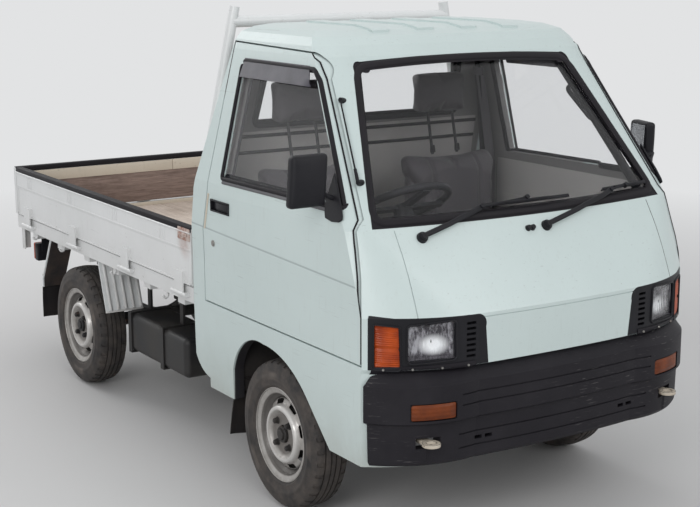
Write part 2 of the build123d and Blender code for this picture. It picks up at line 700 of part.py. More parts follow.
def seats():
    for name, x in (("seat_driver", -320), ("seat_passenger", 320)):
        hip = behind(1004)
        cushion = across([(hip - 445, DECK_Z + SEAT_GAP), (hip, DECK_Z + SEAT_GAP), (hip, 720), (hip - 420, 745),
                          (hip - 450, 720)], x - 235, x + 235)
        rear = hip + SEAT_GAP
        back = across([(rear, DECK_Z + 30), (hip + 120, DECK_Z + 30), (hip + 135, 1185), (hip + 80, 1192),
                       (hip + 40, 1150), (rear, 760)], x - 225, x + 225)
        rest = across([(hip + 105, 1315), (hip + 185, 1315), (hip + 190, 1485), (hip + 140, 1488),
                       (hip + 110, 1470)], x - 122, x + 122)
        for dx in (-60, 60):
            rest += rod((x + dx, hip + 120, 1175), (x + dx, hip + 145, 1330), 6)
        save(name, cushion, back + rest)


def gear_lever():
    y = behind(594)
    stick = rod((-40, y, DECK_Z + 5), (-60, y - 80, 860), 8)
    boot = Solid.make_cone(45, 14, 70, Plane((-40, y, DECK_Z)))
    knob = Pos(-61, y - 84, 872) * Sphere(20)
    save("gear_lever", stick + boot + knob)


def wipers():
    parts = []
    for x0, x1, x2 in ((-492, -216, 144), (16, 312, 514)):
        base = rod((x0, NOSE_Y + 185, 1052), (x0, NOSE_Y + 162, 1075), 14)
        arm = rod((x0, NOSE_Y + 170, 1072), (x1, NOSE_Y + 206, 1146), 6)
        blade = rod((x1 - 180, NOSE_Y + 214, 1140), (x2, NOSE_Y + 214, 1146), 6)
        parts.append((base + arm + blade) - CAB_OUTER)
    save("wipers", *parts)


def antenna():
    low, high = (-CAB_HALF + 84, behind(305), 1226), (-CAB_HALF + 132, behind(485), 1473)
    mast = rod(low, high, 4)
    foot = rod((low[0] + 23, low[1] + 17, low[2] - 7), low, 8)
    holder = rod((high[0] + 25, high[1] + 19, high[2] - 10), high, 7)
    save("antenna", (mast + foot + holder) - CAB_OUTER)


def bed_frame():
    rail = block(RAIL_HALF - RAIL_WALL, RAIL_HALF, BED_FRONT_Y, BED_REAR_Y - 6, RAIL_BOTTOM_Z, RAIL_TOP_Z)
    frame = rail + left_of(rail)
    frame += block(-RAIL_HALF, RAIL_HALF, BED_REAR_Y - 6, BED_REAR_Y + 28, RAIL_BOTTOM_Z, RAIL_TOP_Z)
    frame += block(-RAIL_HALF, RAIL_HALF, BED_FRONT_Y, BED_FRONT_Y + 40, RAIL_BOTTOM_Z, RAIL_TOP_Z)
    frame += block(-RAIL_HALF + 10, RAIL_HALF - 10, BED_FRONT_Y + 10, BED_REAR_Y, BED_FLOOR_Z - PLANK - 6,
                   BED_FLOOR_Z - PLANK)
    for y in SILL_YS:
        frame += block(-RAIL_HALF + 20, RAIL_HALF - 20, y - 30, y + 30, FRAME_RAIL_Z + FRAME_RAIL_HIGH,
                       BED_FLOOR_Z - PLANK - 3)
    for y in HINGE_YS:
        for side in (-1, 1):
            x = side * (GATE_HALF + HINGE_OUT)
            pin = rod((x, y - LUG_OUT, GATE_HINGE_Z), (x, y + LUG_OUT, GATE_HINGE_Z), HINGE_PIN_R)
            for end in (-1, 1):
                near, far = y + end * LUG_IN, y + end * LUG_OUT
                lug = rod((x, near, GATE_HINGE_Z), (x, far, GATE_HINGE_Z), HINGE_R)
                lug += block(side * (RAIL_HALF - 4), x, near, far, GATE_HINGE_Z - 6, GATE_HINGE_Z + 6)
                pin += lug
            frame += pin
    for x in REAR_HINGE_XS:
        y = REAR_HINGE_Y
        pin = rod((x - LUG_OUT, y, GATE_HINGE_Z), (x + LUG_OUT, y, GATE_HINGE_Z), HINGE_PIN_R)
        for end in (-1, 1):
            near, far = x + end * LUG_IN, x + end * LUG_OUT
            lug = rod((near, y, GATE_HINGE_Z), (far, y, GATE_HINGE_Z), HINGE_R)
            lug += block(near, far, BED_REAR_Y + 20, y, GATE_HINGE_Z - 6, GATE_HINGE_Z + 6)
            pin += lug
        frame += pin
    save("bed_frame", frame)


def bed_planks():
    count, gap = 9, 4
    width = (2 * (RAIL_HALF - RAIL_WALL - 2) + gap) / count
    planks = []
    for n in range(count):
        x = -(RAIL_HALF - RAIL_WALL - 2) + n * width
        planks.append(block(x, x + width - gap, BED_FRONT_Y + 42, BED_REAR_Y - 8, BED_FLOOR_Z - PLANK, BED_FLOOR_Z))
    save("bed_planks", *planks)


def gate_section():
    """A drop side's section as (out, up): hollow-pressed outside with a crease and a cap on top."""
    inner, outer = 0, GATE_SHEET
    return [
        (inner, GATE_BOTTOM_Z), (outer - 3, GATE_BOTTOM_Z), (outer - 3, GATE_BOTTOM_Z + 128),
        (outer, GATE_BOTTOM_Z + 140), (outer, GATE_TOP_Z - 25), (outer - 2, GATE_TOP_Z - 25),
        (outer - 2, GATE_TOP_Z - 6), (outer / 2, GATE_TOP_Z), (inner + 2, GATE_TOP_Z - 6),
        (inner + 2, GATE_TOP_Z - 25), (inner, GATE_TOP_Z - 25),
    ]


def gates():
    inside = -(GATE_HALF - GATE_SHEET)
    side_gate = along([(inside - out, up) for out, up in gate_section()], BED_FRONT_Y, BED_REAR_Y)
    x = -(GATE_HALF + HINGE_OUT)
    reach = LUG_IN - 1
    for y in HINGE_YS:
        barrel = rod((x, y - reach, GATE_HINGE_Z), (x, y + reach, GATE_HINGE_Z), HINGE_R)
        leaf = block(x - 2, x + 3, y - reach, y + reach, GATE_HINGE_Z, GATE_BOTTOM_Z + 50)
        leaf += block(x, -(GATE_HALF - 6), y - reach, y + reach, GATE_BOTTOM_Z + 2, GATE_BOTTOM_Z + 50)
        side_gate += barrel + leaf
    for y in HINGE_YS:
        bore = rod((x, y - LUG_OUT, GATE_HINGE_Z), (x, y + LUG_OUT, GATE_HINGE_Z), HINGE_PIN_R + BORE_GAP)
        side_gate -= bore
    mirrored_pair("gate", side_gate)
    rear = across([(REAR_GATE_Y + out, up) for out, up in gate_section()], -GATE_HALF, GATE_HALF)
    y = REAR_HINGE_Y
    for x in REAR_HINGE_XS:
        barrel = rod((x - reach, y, GATE_HINGE_Z), (x + reach, y, GATE_HINGE_Z), HINGE_R)
        leaf = block(x - reach, x + reach, y - 3, y + 2, GATE_HINGE_Z, GATE_BOTTOM_Z + 50)
        leaf += block(x - reach, x + reach, REAR_GATE_Y + GATE_SHEET - 6, y, GATE_BOTTOM_Z + 2, GATE_BOTTOM_Z + 50)
        rear += barrel + leaf
    for x in REAR_HINGE_XS:
        rear -= rod((x - LUG_OUT, y, GATE_HINGE_Z), (x + LUG_OUT, y, GATE_HINGE_Z), HINGE_PIN_R + BORE_GAP)
    save("gate_rear", rear)


def guard_frame():
    y = BED_FRONT_Y + 20
    foot_x = GATE_HALF - GATE_SHEET - GATE_GAP - POST_R
    top_x = 485
    path = [(-foot_x, y, RAIL_TOP_Z), (-foot_x, y, 1000), (-top_x, y - 22, GUARD_TOP_Z)]
    post = tube(path, POST_R, 160)
    frame = post + left_of(post)
    frame += rod((-top_x - 14, y - 20, GUARD_BAR_Z), (top_x + 14, y - 20, GUARD_BAR_Z), 22)
    frame += block(-foot_x, foot_x, y - 12, y + 12, RAIL_TOP_Z, GATE_TOP_Z - 5)
    save("guard_frame", frame)


def rear_fenders():
    fenders = []
    y = REAR_AXLE_Y
    edge = RAIL_HALF - 8
    front = across([(y - 345, 400), (y - 337, 400), (y - 262, RAIL_BOTTOM_Z), (y - 272, RAIL_BOTTOM_Z)],
                   edge - 175, edge)
    rear = across([(y + 290, RAIL_BOTTOM_Z), (y + 300, RAIL_BOTTOM_Z), (y + 424, 409), (y + 414, 409)],
                  edge - 115, edge)
    rear += block(edge - 115, edge, y + 414, y + 424, 370, 418)
    for solid in (front, rear):
        fenders.append(solid)
        fenders.append(left_of(solid))
    save("rear_fenders", *fenders)


def mud_flaps():
    y = REAR_AXLE_Y
    rear = block(RAIL_HALF - 113, RAIL_HALF - 11, y + 424, y + 430, 250, 416)
    y = HOUSING_BACK_Y + 12
    front = block(CAB_HALF - 127, CAB_HALF - WALL - 15, y, y + 6, 228, 440)
    save("mud_flaps", rear, left_of(rear), front, left_of(front))


def tail_lamps():
    y = BED_REAR_Y
    lamp = block(470, 620, y - 56, y + 4, 455, 540)
    lamp = fillet(lamp.edges(), 6)
    bracket = block(560, 566, y - 66, y - 6, 530, RAIL_BOTTOM_Z) + block(500, 600, y - 66, y - 56, 500, RAIL_BOTTOM_Z)
    save("tail_lamps", lamp + bracket, left_of(lamp + bracket))


def fuel_tank():
    tank = block(-600, -410, BED_FRONT_Y + 250, BED_FRONT_Y + 810, 240, 410)
    tank = fillet(tank.edges(), 25)
    for y in SILL_YS[1:3]:
        tank += block(-606, -404, y - 15, y + 15, 234, 416) - block(-599, -411, y - 15, y + 15, 241, 409)
        tank += block(-510, -500, y - 15, y + 15, 410, FRAME_RAIL_Z + FRAME_RAIL_HIGH)
    save("fuel_tank", tank)


def exhaust():
    y = BED_FRONT_Y
    muffler = rod((470, y + 390, 330), (470, y + 850, 330), 75)
    pipe = tube([(160, y + 10, 330), (300, y + 140, 330), (470, y + 270, 330), (470, y + 400, 330)], 20, [60, 60])
    hangers = block(465, 475, SILL_YS[1] - 15, SILL_YS[1] + 15, 400, FRAME_RAIL_Z + FRAME_RAIL_HIGH)
    save("exhaust", muffler + pipe + hangers)


def build():
    cab_panels()
    doors()
    mirrors()
    glazing()
    lamps()
    bumper()
    chassis()
    cab_floor()
    engine()
    rear_axle()
    leaf_springs()
    front_suspension()
    knuckles()
    wheels()
    steering()
    save("dashboard", dashboard_body())
    seats()
    gear_lever()
    wipers()
    antenna()
    bed_frame()
    bed_planks()
    gates()
    guard_frame()
    rear_fenders()
    mud_flaps()
    tail_lamps()
    fuel_tank()
    exhaust()


build()
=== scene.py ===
# %% [markdown]
# # A cab-over kei truck
#
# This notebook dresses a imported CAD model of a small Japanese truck. The model fixes every size and
# every joint, and Blender adds what plain solids lack: paint with dirt in it, tread on the tyres,
# rubber round the glass, padded seats and weathered wood. Each step first says what the real thing
# is, and then how it is made here.

# %% Load the model
import math

import bmesh
import bpy
from mathutils import Matrix, Vector
from mathutils.bvhtree import BVHTree


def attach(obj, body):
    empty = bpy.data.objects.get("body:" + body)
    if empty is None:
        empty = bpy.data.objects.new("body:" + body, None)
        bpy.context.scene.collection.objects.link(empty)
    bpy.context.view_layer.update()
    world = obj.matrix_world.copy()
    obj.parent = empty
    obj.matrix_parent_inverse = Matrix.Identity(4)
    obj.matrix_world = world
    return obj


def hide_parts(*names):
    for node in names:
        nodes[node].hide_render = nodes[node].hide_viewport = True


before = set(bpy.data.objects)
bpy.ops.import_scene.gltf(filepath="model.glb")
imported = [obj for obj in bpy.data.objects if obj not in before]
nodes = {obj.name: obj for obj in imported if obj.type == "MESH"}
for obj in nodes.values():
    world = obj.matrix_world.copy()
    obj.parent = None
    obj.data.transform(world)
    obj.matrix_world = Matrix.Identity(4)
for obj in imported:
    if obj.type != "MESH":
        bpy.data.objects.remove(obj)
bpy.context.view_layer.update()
scene = bpy.context.scene


def added(name, data):
    """Puts a new object into the scene."""
    made = bpy.data.objects.new(name, data)
    scene.collection.objects.link(made)
    return made


def mesh_of(name, bm):
    """Turns a bmesh into a mesh and frees it."""
    mesh = bpy.data.meshes.new(name)
    bm.to_mesh(mesh)
    bm.free()
    return mesh


# %% [markdown]
# ## The camera
#
# The photograph was taken from the truck's right front corner at about head height. A camera is a
# place and three directions: what it looks at, what is to its right, and what is up for it. They are
# worked out from the azimuth, the pitch and a very small roll, and go into one matrix.

# %% Camera
AZIMUTH = math.radians(32.7276)
PITCH = math.radians(11.8024)
ROLL = math.radians(-0.0895)
LENS_MM = 74.58
CAMERA_PLACE = Vector((-3.10814, -5.1741, 1.95121))

ahead = Vector((
    math.sin(AZIMUTH) * math.cos(PITCH),
    math.cos(AZIMUTH) * math.cos(PITCH),
    -math.sin(PITCH),
))
level = Vector((math.cos(AZIMUTH), -math.sin(AZIMUTH), 0))
upright = level.cross(ahead)
right = math.cos(ROLL) * level + math.sin(ROLL) * upright
up = math.cos(ROLL) * upright - math.sin(ROLL) * level

lens = bpy.data.cameras.new("camera")
lens.sensor_width = 36
lens.lens = LENS_MM
lens.clip_end = 200
camera = added("camera", lens)
camera.matrix_world = Matrix((right, up, -ahead)).transposed().to_4x4()
camera.matrix_world.translation = CAMERA_PLACE
scene.camera = camera
print("camera lens", lens.lens, "mm")

# %% [markdown]
# ## Maths on sockets
#
# A procedural material is a formula: how much dust, times how low on the door, plus a little noise.
# Blender draws that as nodes. This class wraps one socket, so that the formula can be written as
# Python, and each sign adds its own Math node. Its node method adds any other node. Colours are noted
# as they look on a screen, 0 to 255, and turned into the linear values that light works in.

# %% Signals
def linear(colour):
    """The linear values of a colour that is noted as a screen shows it."""
    values = []
    for value in colour:
        share = value / 255
        values.append(share / 12.92 if share <= 0.04045 else ((share + 0.055) / 1.055) ** 2.4)
    return (*values, 1.0)


class Signal:
    """A socket in one material's node tree."""

    def __init__(self, tree, socket=None):
        self.tree = tree
        self.socket = socket

    def node(self, kind, settings=None, inputs=None, output=0):
        """Adds a node: its settings first, then its sockets. Three numbers on a colour are a screen's."""
        made = self.tree.nodes.new("ShaderNode" + kind)
        for name, setting in (settings or {}).items():
            setattr(made, name, setting)
        for key, value in (inputs or {}).items():
            socket = made.inputs[key]
            if isinstance(value, Signal):
                self.tree.links.new(value.socket, socket)
            elif socket.type == "RGBA" and len(value) == 3:
                socket.default_value = linear(value)
            else:
                socket.default_value = value
        return Signal(self.tree, made.outputs[output] if len(made.outputs) else None)

    def math(self, operation, first, second=0.0):
        return self.node("Math", {"operation": operation}, {0: first, 1: second})

    def __add__(self, other):
        return self.math("ADD", self, other)

    def __sub__(self, other):
        return self.math("SUBTRACT", self, other)

    def __rsub__(self, other):
        return self.math("SUBTRACT", other, self)

    def __mul__(self, other):
        return self.math("MULTIPLY", self, other)

    def __abs__(self):
        return self.math("ABSOLUTE", self)

    __radd__ = __add__
    __rmul__ = __mul__

    def hypot(self, other):
        """How far a point is from the middle, from its two distances along the axes."""
        return self.math("SQRT", self * self + other * other)

    def at_least(self, other):
        return self.math("MAXIMUM", self, other)

    def at_most(self, other):
        return self.math("MINIMUM", self, other)

    def rising(self, low, high):
        """A straight ramp from 0 at low to 1 at high, which falls where low is above high."""
        return self.node("MapRange", {"clamp": True}, {0: self, 1: low, 2: high, 3: 0.0, 4: 1.0})

# %% [markdown]
# ## The parts that every finish shares
#
# Patterns are read from Object coordinates, which are metres on the truck itself, so a pattern stays
# with its piece when a door swings.

# %% Finishes: helpers
finishes = {}


class Finish(Signal):
    """One named material: its patterns are made first, and its surface last."""

    def __init__(self, name):
        self.material = bpy.data.materials.new(name)
        self.material.use_nodes = True
        super().__init__(self.material.node_tree)
        self.tree.nodes.clear()
        finishes[name] = self.material
        self.place = self.node("TexCoord", output="Object")
        self.x, self.y, self.z = self.axes(self.place)

    def axes(self, place):
        """The x, y and z of a vector."""
        split = self.node("SeparateXYZ", {}, {0: place})
        return [Signal(self.tree, socket) for socket in split.socket.node.outputs]

    def stretched(self, scale):
        """The place with each axis scaled, for grain and scratches."""
        return self.node("Mapping", {}, {"Vector": self.place, "Scale": scale})

    def noise(self, scale, detail=3.0, roughness=0.5, place=None, warp=0.0):
        settings = {"Vector": place or self.place, "Scale": scale, "Detail": detail,
                    "Roughness": roughness, "Distortion": warp}
        return self.node("TexNoise", {}, settings)

    def wave(self, direction, scale):
        """Bands across one axis."""
        return self.node("TexWave", {"bands_direction": direction}, {"Vector": self.place, "Scale": scale})

    def blend(self, share, first, second):
        return self.node("Mix", {"data_type": "RGBA"}, {0: share, 6: first, 7: second}, 2)

    def relief(self, height, depth, strength=1.0):
        return self.node("Bump", {}, {"Height": height, "Distance": depth, "Strength": strength})

    def surface(self, **values):
        """The one surface shader, with names such as Base_Color written with an underscore."""
        inputs = {name.replace("_", " "): value for name, value in values.items()}
        return self.node("BsdfPrincipled", {}, inputs)

    def show(self, shader):
        self.node("OutputMaterial", {}, {"Surface": shader})
        print("finish", self.material.name, "has", len(self.tree.nodes), "nodes")

# %% [markdown]
# ## Body paint
#
# The cab wears a very pale mint enamel, thirty years old. Up close it isn't one colour: it has faded
# in soft patches, road film has dried along the sill and round the arch, stones have chipped the
# low edges down to rust, and fine scratches run along the flanks. Each of those is a mask, and the
# masks mix the colours. A thin clear coat gives the soft gloss of polished enamel. The cab's own paint
# stops where the steel looks inwards, which is trim grey, and in the wheel arches, which are black.
# A thin darker line along the door's crease is painted shade.

# %% Body paint
def inner_sides(coat):
    """Masks of the cab's inner faces and of its wheel arches, and the normal's x."""
    across, along, _ = coat.axes(coat.node("TexCoord", output="Normal"))
    width = abs(coat.x)
    inward = (across * coat.math("SIGN", coat.x)).rising(-0.2, -0.3) * coat.z.rising(1.63, 1.61)
    wall = along.rising(-0.4, -0.5) * coat.y.rising(-0.53, -0.52) * width.rising(0.62, 0.61)
    post = along.rising(0.15, 0.25) * coat.y.rising(-0.99, -1.01) * coat.z.rising(0.8, 0.82)
    depth = 0.683 - (coat.z - 1.09).at_least(0.0) * 0.223 - width
    reveal = depth.rising(0.0, 0.002) * coat.z.rising(1.05, 1.06) * coat.z.rising(1.6, 1.59)
    reveal = reveal * coat.y.rising(-1.0, -0.99) * coat.y.rising(-0.42, -0.43)
    arch = (0.684 - width).rising(0.0, 0.002) * coat.z.rising(0.77, 0.76)
    arch = arch * coat.y.rising(-1.27, -1.26) * coat.y.rising(-0.55, -0.56)
    return inward.at_least(wall).at_least(post).at_least(reveal), arch, across


def enamel(name, paint, faded, film, film_top, chips, cab=False, stain=None):
    """Old stoving enamel. film_top is how high the road film reaches, in metres."""
    coat = Finish(name)
    patches = coat.noise(2.3, 4, 0.6).rising(0.35, 0.7)
    colour = coat.blend(patches * 0.6, paint, faded)
    low = coat.z.rising(film_top, 0.3)
    cloud = coat.noise(9, 6, 0.65, warp=0.4)
    filth = (low * low * cloud * 1.5).at_most(1.0)
    colour = coat.blend(filth * 0.55, colour, film)
    streaks = coat.noise(14, 5, 0.6, coat.stretched((6, 6, 0.7))).rising(0.58, 0.85)
    colour = coat.blend(streaks * 0.16, colour, film)
    scratches = coat.noise(9, 2, 0.5, coat.stretched((6, 0.6, 22))).rising(0.7, 0.74)
    colour = coat.blend(scratches * 0.22, colour, (120, 122, 120))
    edge_noise = coat.noise(46, 4, 0.7)
    chip = edge_noise.rising(chips, chips + 0.02) * coat.z.rising(1.15, 0.45)
    colour = coat.blend(chip * 0.85, colour, (96, 62, 44))
    fine = coat.noise(420, 2, 0.5)
    dents = coat.noise(3.1, 2, 0.4)
    height = dents * 0.9 + fine * 0.02 - chip * 0.05
    gloss = 0.32 - filth * 0.28
    if stain:
        ahead_of, above = coat.y - stain[0], (coat.z - stain[1]) * 0.7
        spread = ahead_of.hypot(above).rising(stain[2], 0.0) * cloud.rising(0.35, 0.6)
        spread = spread * coat.x.rising(-0.64, -0.66)
        colour = coat.blend(spread * 0.8, colour, (150, 96, 70))
    if cab:
        trim, arch, across = inner_sides(coat)
        crease = abs(coat.z - 0.9563 - coat.y * 0.0295)
        flank = abs(across).rising(0.8, 0.9)
        height = height + crease.rising(0.0, 0.006) * flank * 0.35
        # The darker grey-blue line along the door crease is painted shade.
        colour = coat.blend(crease.rising(0.0045, 0.001) * flank * 0.5, colour, (112, 122, 126))
        colour = coat.blend(trim, colour, (110, 108, 108))
        colour = coat.blend(arch, colour, (35, 33, 36))
        gloss = gloss * (1 - trim) * (1 - arch)
    coat.show(coat.surface(
        Base_Color=colour,
        Roughness=0.38 + patches * 0.08 + filth * 0.3 + chip * 0.35,
        Coat_Weight=gloss,
        Coat_Roughness=0.22,
        Normal=coat.relief(height, 0.006, 0.35),
    ))


enamel("body_paint", (200, 213, 211), (193, 206, 204),
       (140, 134, 122), 0.62, 0.735, cab=True)
enamel("white_paint", (226, 227, 227), (214, 216, 215),
       (128, 112, 96), 0.98, 0.69, stain=(-0.235, 0.88, 0.075))

# %% [markdown]
# ## Black parts
#
# The bumper is moulded in black plastic with a fine grain, gone grey on top where the sun reaches it
# and scuffed pale along its low edges. The lamp surrounds, the mirrors and the handles are the same
# stuff in better shape. Rubber is duller still. One recipe with a few numbers makes them all.

# %% Black plastics and rubbers
def moulded(name, base, worn, roughness, grain, scuffs, grain_depth=0.0004):
    """Moulded black stuff with grain, bloom and scuffs. scuffs is the share that is scratched."""
    stuff = Finish(name)
    bloom = stuff.noise(5, 5, 0.65).rising(0.42, 0.75)
    colour = stuff.blend(bloom * 0.55, base, worn)
    marks = stuff.noise(11, 3, 0.6, stuff.stretched((1.6, 1.6, 26)), warp=0.6)
    marks = marks.rising(0.74 - scuffs, 0.78 - scuffs) * stuff.noise(3.5, 3, 0.6).rising(0.48, 0.62)
    colour = stuff.blend(marks * 0.5, colour, (124, 121, 120))
    pores = stuff.noise(grain, 2, 0.6)
    stuff.show(stuff.surface(
        Base_Color=colour,
        Roughness=roughness + bloom * 0.14 + marks * 0.1,
        Specular_IOR_Level=0.2,
        Normal=stuff.relief(pores + marks * 0.4, grain_depth, 0.6),
    ))


moulded("bumper_black", (29, 27, 32), (47, 45, 49), 0.5, 900, 0.1)
moulded("trim_black", (27, 27, 31), (40, 39, 43), 0.42, 1200, 0.0, 0.0003)
moulded("seal_rubber", (26, 24, 28), (44, 41, 45), 0.55, 700, 0.0, 0.0003)
moulded("flap_rubber", (33, 31, 32), (58, 51, 46), 0.75, 500, 0.03)
moulded("dash_plastic", (52, 52, 55), (66, 65, 66), 0.5, 1100, 0.0, 0.0004)
moulded("floor_mat", (46, 44, 44), (78, 72, 64), 0.8, 300, 0.02, 0.0008)

# %% [markdown]
# ## Steel under the truck
#
# Nobody polishes a chassis. It is black paint under dust, with rust coming through where stones hit
# it. The engine is bare alloy with oil on it, the tank is black, and the exhaust is brown all over. The
# rusty latches of the load bed come from the same recipe.

# %% Underside steel
def worn_steel(name, base, rust, rust_share, roughness, metallic=0.0, dusty=0.22):
    """Painted or bare steel with rust coming through."""
    steel = Finish(name)
    blotch = steel.noise(17, 6, 0.7, warp=0.3)
    rusty = blotch.rising(0.72 - rust_share, 0.86 - rust_share)
    dust = steel.noise(4, 4, 0.6).rising(0.4, 0.8)
    colour = steel.blend(dust * dusty, base, (112, 104, 94))
    colour = steel.blend(rusty, colour, rust)
    pits = steel.noise(160, 3, 0.6)
    steel.show(steel.surface(
        Base_Color=colour,
        Metallic=metallic * (1 - rusty) * (1 - dust * 0.5),
        Roughness=roughness + rusty * 0.3 + dust * 0.15,
        Normal=steel.relief(pits * rusty + blotch * 0.3, 0.001, 0.6),
    ))


RUST = (104, 66, 44)
worn_steel("frame_black", (28, 27, 28), RUST, 0.1, 0.55)
worn_steel("engine_metal", (128, 126, 122), (70, 58, 48), 0.12, 0.45, 0.8)
worn_steel("tank_steel", (22, 22, 24), RUST, 0.04, 0.5)
worn_steel("latch_steel", (196, 180, 172), (140, 84, 62), 0.3, 0.5)
worn_steel("exhaust_steel", (120, 104, 92), RUST, 0.3, 0.55, 0.6)

# %% [markdown]
# ## Wheel silver
#
# The rims are pressed steel in flat silver lacquer, with grime, and small rust runs start at the hand
# holes. Their colour also carries painted light: painted shade in the deep ring between the disc and
# the flange, a painted highlight on the raised ring round the nuts, and a darker middle towards the
# hub. One formula serves all four wheels: it measures how far a point is from the nearer axle's line.

# %% Wheel silver
AXLES_MIDDLE_Y = 0.0065
HALF_WHEELBASE = 0.9195
HUB_Z = 0.27


def from_hub(stuff):
    """How far a point is from its wheel's hub."""
    return abs(abs(stuff.y - AXLES_MIDDLE_Y) - HALF_WHEELBASE).hypot(stuff.z - HUB_Z)


silver = Finish("wheel_silver")
film = silver.noise(24, 5, 0.65)
grime = film.rising(0.4, 0.72)
specks = silver.noise(90, 3, 0.7).rising(0.66, 0.72)
lacquer = silver.blend(grime * 0.5, (178, 175, 171), (118, 110, 104))
lacquer = silver.blend(specks * 0.7, lacquer, (104, 72, 52))
hub_radius = from_hub(silver)
recess_shadow = hub_radius.rising(0.121, 0.13) * hub_radius.rising(0.152, 0.146)
centre = hub_radius.rising(0.082, 0.07)
crest_highlight = hub_radius.rising(0.086, 0.092) * hub_radius.rising(0.11, 0.104)
# Painted shade in the recess by the flange, a darker middle, and a painted highlight on the raised ring.
lacquer = silver.blend(recess_shadow * 0.72, lacquer, (54, 50, 48))
lacquer = silver.blend(centre * 0.6, lacquer, (76, 69, 64))
lacquer = silver.blend(crest_highlight * 0.65, lacquer, (222, 220, 217))
silver.show(silver.surface(
    Base_Color=lacquer,
    Metallic=0.55 - grime * 0.3,
    Roughness=0.38 + grime * 0.25,
    Normal=silver.relief(film, 0.0008, 0.4),
))

# %% [markdown]
# ## Glass and lenses
#
# A window shows what is behind it and a faint reflection. Glass that only bends light would keep the
# lamps out of the cab, so a Mix Shader swaps it for a clear film where a ray comes from a lamp. The
# headlamp's pane is the same glass with moulded ribs, which bump waves draw. The visor over the door
# window is smoked plastic, a plain surface that lets a little through.

# %% Glass
def glazing(name, tint, roughness=0.0, ribs=None, rib_depth=0.002, ior=1.45):
    """Clear or tinted glass that lets the lamps through. ribs is the scale of the moulded pattern."""
    pane = Finish(name)
    values = {"Base_Color": tint, "Transmission_Weight": 1.0, "Roughness": roughness, "IOR": ior}
    if ribs:
        flutes = pane.wave("X", ribs) + pane.wave("Z", ribs * 0.6) * 0.6
        values["Normal"] = pane.relief(flutes, rib_depth, 0.7)
    glass = pane.surface(**values)
    film = pane.node("BsdfTransparent", {}, {"Color": tint})
    lamp_ray = pane.node("LightPath", output="Is Shadow Ray")
    pane.show(pane.node("MixShader", {}, {0: lamp_ray, 1: glass, 2: film}))


glazing("screen_glass", (0.93, 0.935, 0.94, 1.0), ior=1.28)
glazing("lamp_glass", (0.97, 0.98, 0.99, 1.0), 0.01, 26, 0.0009, 1.3)

smoked = Finish("smoked_glass")
bloom = smoked.noise(9, 4, 0.6)
smoked.show(smoked.surface(
    Base_Color=smoked.blend(bloom.rising(0.3, 0.7), (58, 56, 65), (80, 78, 87)),
    Roughness=0.3,
    Specular_IOR_Level=0.3,
    Alpha=0.86,
))


# %% [markdown]
# Amber and red lenses in daylight look solid, because the light that comes back out has passed
# through the colour twice. A coloured plastic with a clear coat over fine ribs looks closer to them
# than glass does, and needs no bulb behind it.

# %% Lenses
def lens_plastic(name, colour, deep, ribs):
    lens_stuff = Finish(name)
    glow = lens_stuff.noise(19, 3, 0.5).rising(0.3, 0.75)
    shade = lens_stuff.blend(glow * 0.7, deep, colour)
    lens_stuff.show(lens_stuff.surface(
        Base_Color=shade,
        Roughness=0.45,
        Specular_IOR_Level=0.3,
        Coat_Weight=0.1,
        Coat_Roughness=0.1,
        Normal=lens_stuff.relief(lens_stuff.wave("Z", ribs), 0.0015, 0.5),
    ))


lens_plastic("amber_lens", (208, 86, 5), (138, 46, 3), 22)
lens_plastic("dull_amber", (136, 62, 7), (88, 36, 5), 22)
lens_plastic("red_lens", (140, 40, 26), (92, 22, 16), 22)

# %% [markdown]
# ## Wood
#
# The load floor and the boards inside the gates are softwood that has been rained on for years. Old
# wood greys first between the grain, so two noises stretched along the boards make the light and dark
# fibres, and a third adds stains.

# %% Wood
def boards(name, pale, dark, stain, grain_scale):
    """Weathered boards. grain_scale squeezes the noise across the grain."""
    wood = Finish(name)
    fibre_place = wood.stretched(grain_scale)
    fibres = wood.noise(7, 8, 0.7, fibre_place, warp=0.5)
    wide = wood.noise(2, 4, 0.6, fibre_place)
    colour = wood.blend(fibres.rising(0.3, 0.7), dark, pale)
    colour = wood.blend(wide.rising(0.45, 0.75) * 0.5, colour, stain)
    blots = wood.noise(3.3, 5, 0.7).rising(0.5, 0.75)
    colour = wood.blend(blots * 0.5, colour, stain)
    wood.show(wood.surface(
        Base_Color=colour,
        Roughness=0.78,
        Normal=wood.relief(fibres, 0.003, 0.7),
    ))


boards("plank_wood", (234, 221, 208), (190, 174, 161),
       (156, 138, 123), (22, 1.2, 22))
boards("gate_board", (158, 138, 128), (106, 88, 80),
       (78, 62, 57), (1.4, 22, 22))

# %% [markdown]
# ## Tyre rubber
#
# A tyre's side is brown-grey with dust, and paler in a ring where kerbs have scuffed it. The moulded
# rings and the tread are in the mesh itself.

# %% Tyre rubber
rubber = Finish("tyre_rubber")
dusting = rubber.noise(13, 6, 0.7)
brown = rubber.blend(dusting.rising(0.36, 0.7) * 0.75, (40, 38, 38), (92, 84, 78))
tyre_radius = from_hub(rubber)
scuff = tyre_radius.rising(0.196, 0.204) * tyre_radius.rising(0.232, 0.222)
scuff = scuff * rubber.noise(5.5, 2).rising(0.54, 0.66)
brown = rubber.blend(scuff * 0.45, brown, (126, 116, 108))
rubber.show(rubber.surface(
    Base_Color=brown,
    Roughness=0.62 + dusting * 0.25,
    Normal=rubber.relief(rubber.noise(260, 3, 0.6), 0.0006, 0.5),
))

# %% [markdown]
# ## Seat vinyl
#
# The seats are covered in dark grey vinyl with a leather grain. Cells give the grain: their edges are
# the creases. The seat belts are webbing, and this woven cloth gets its own finish below.

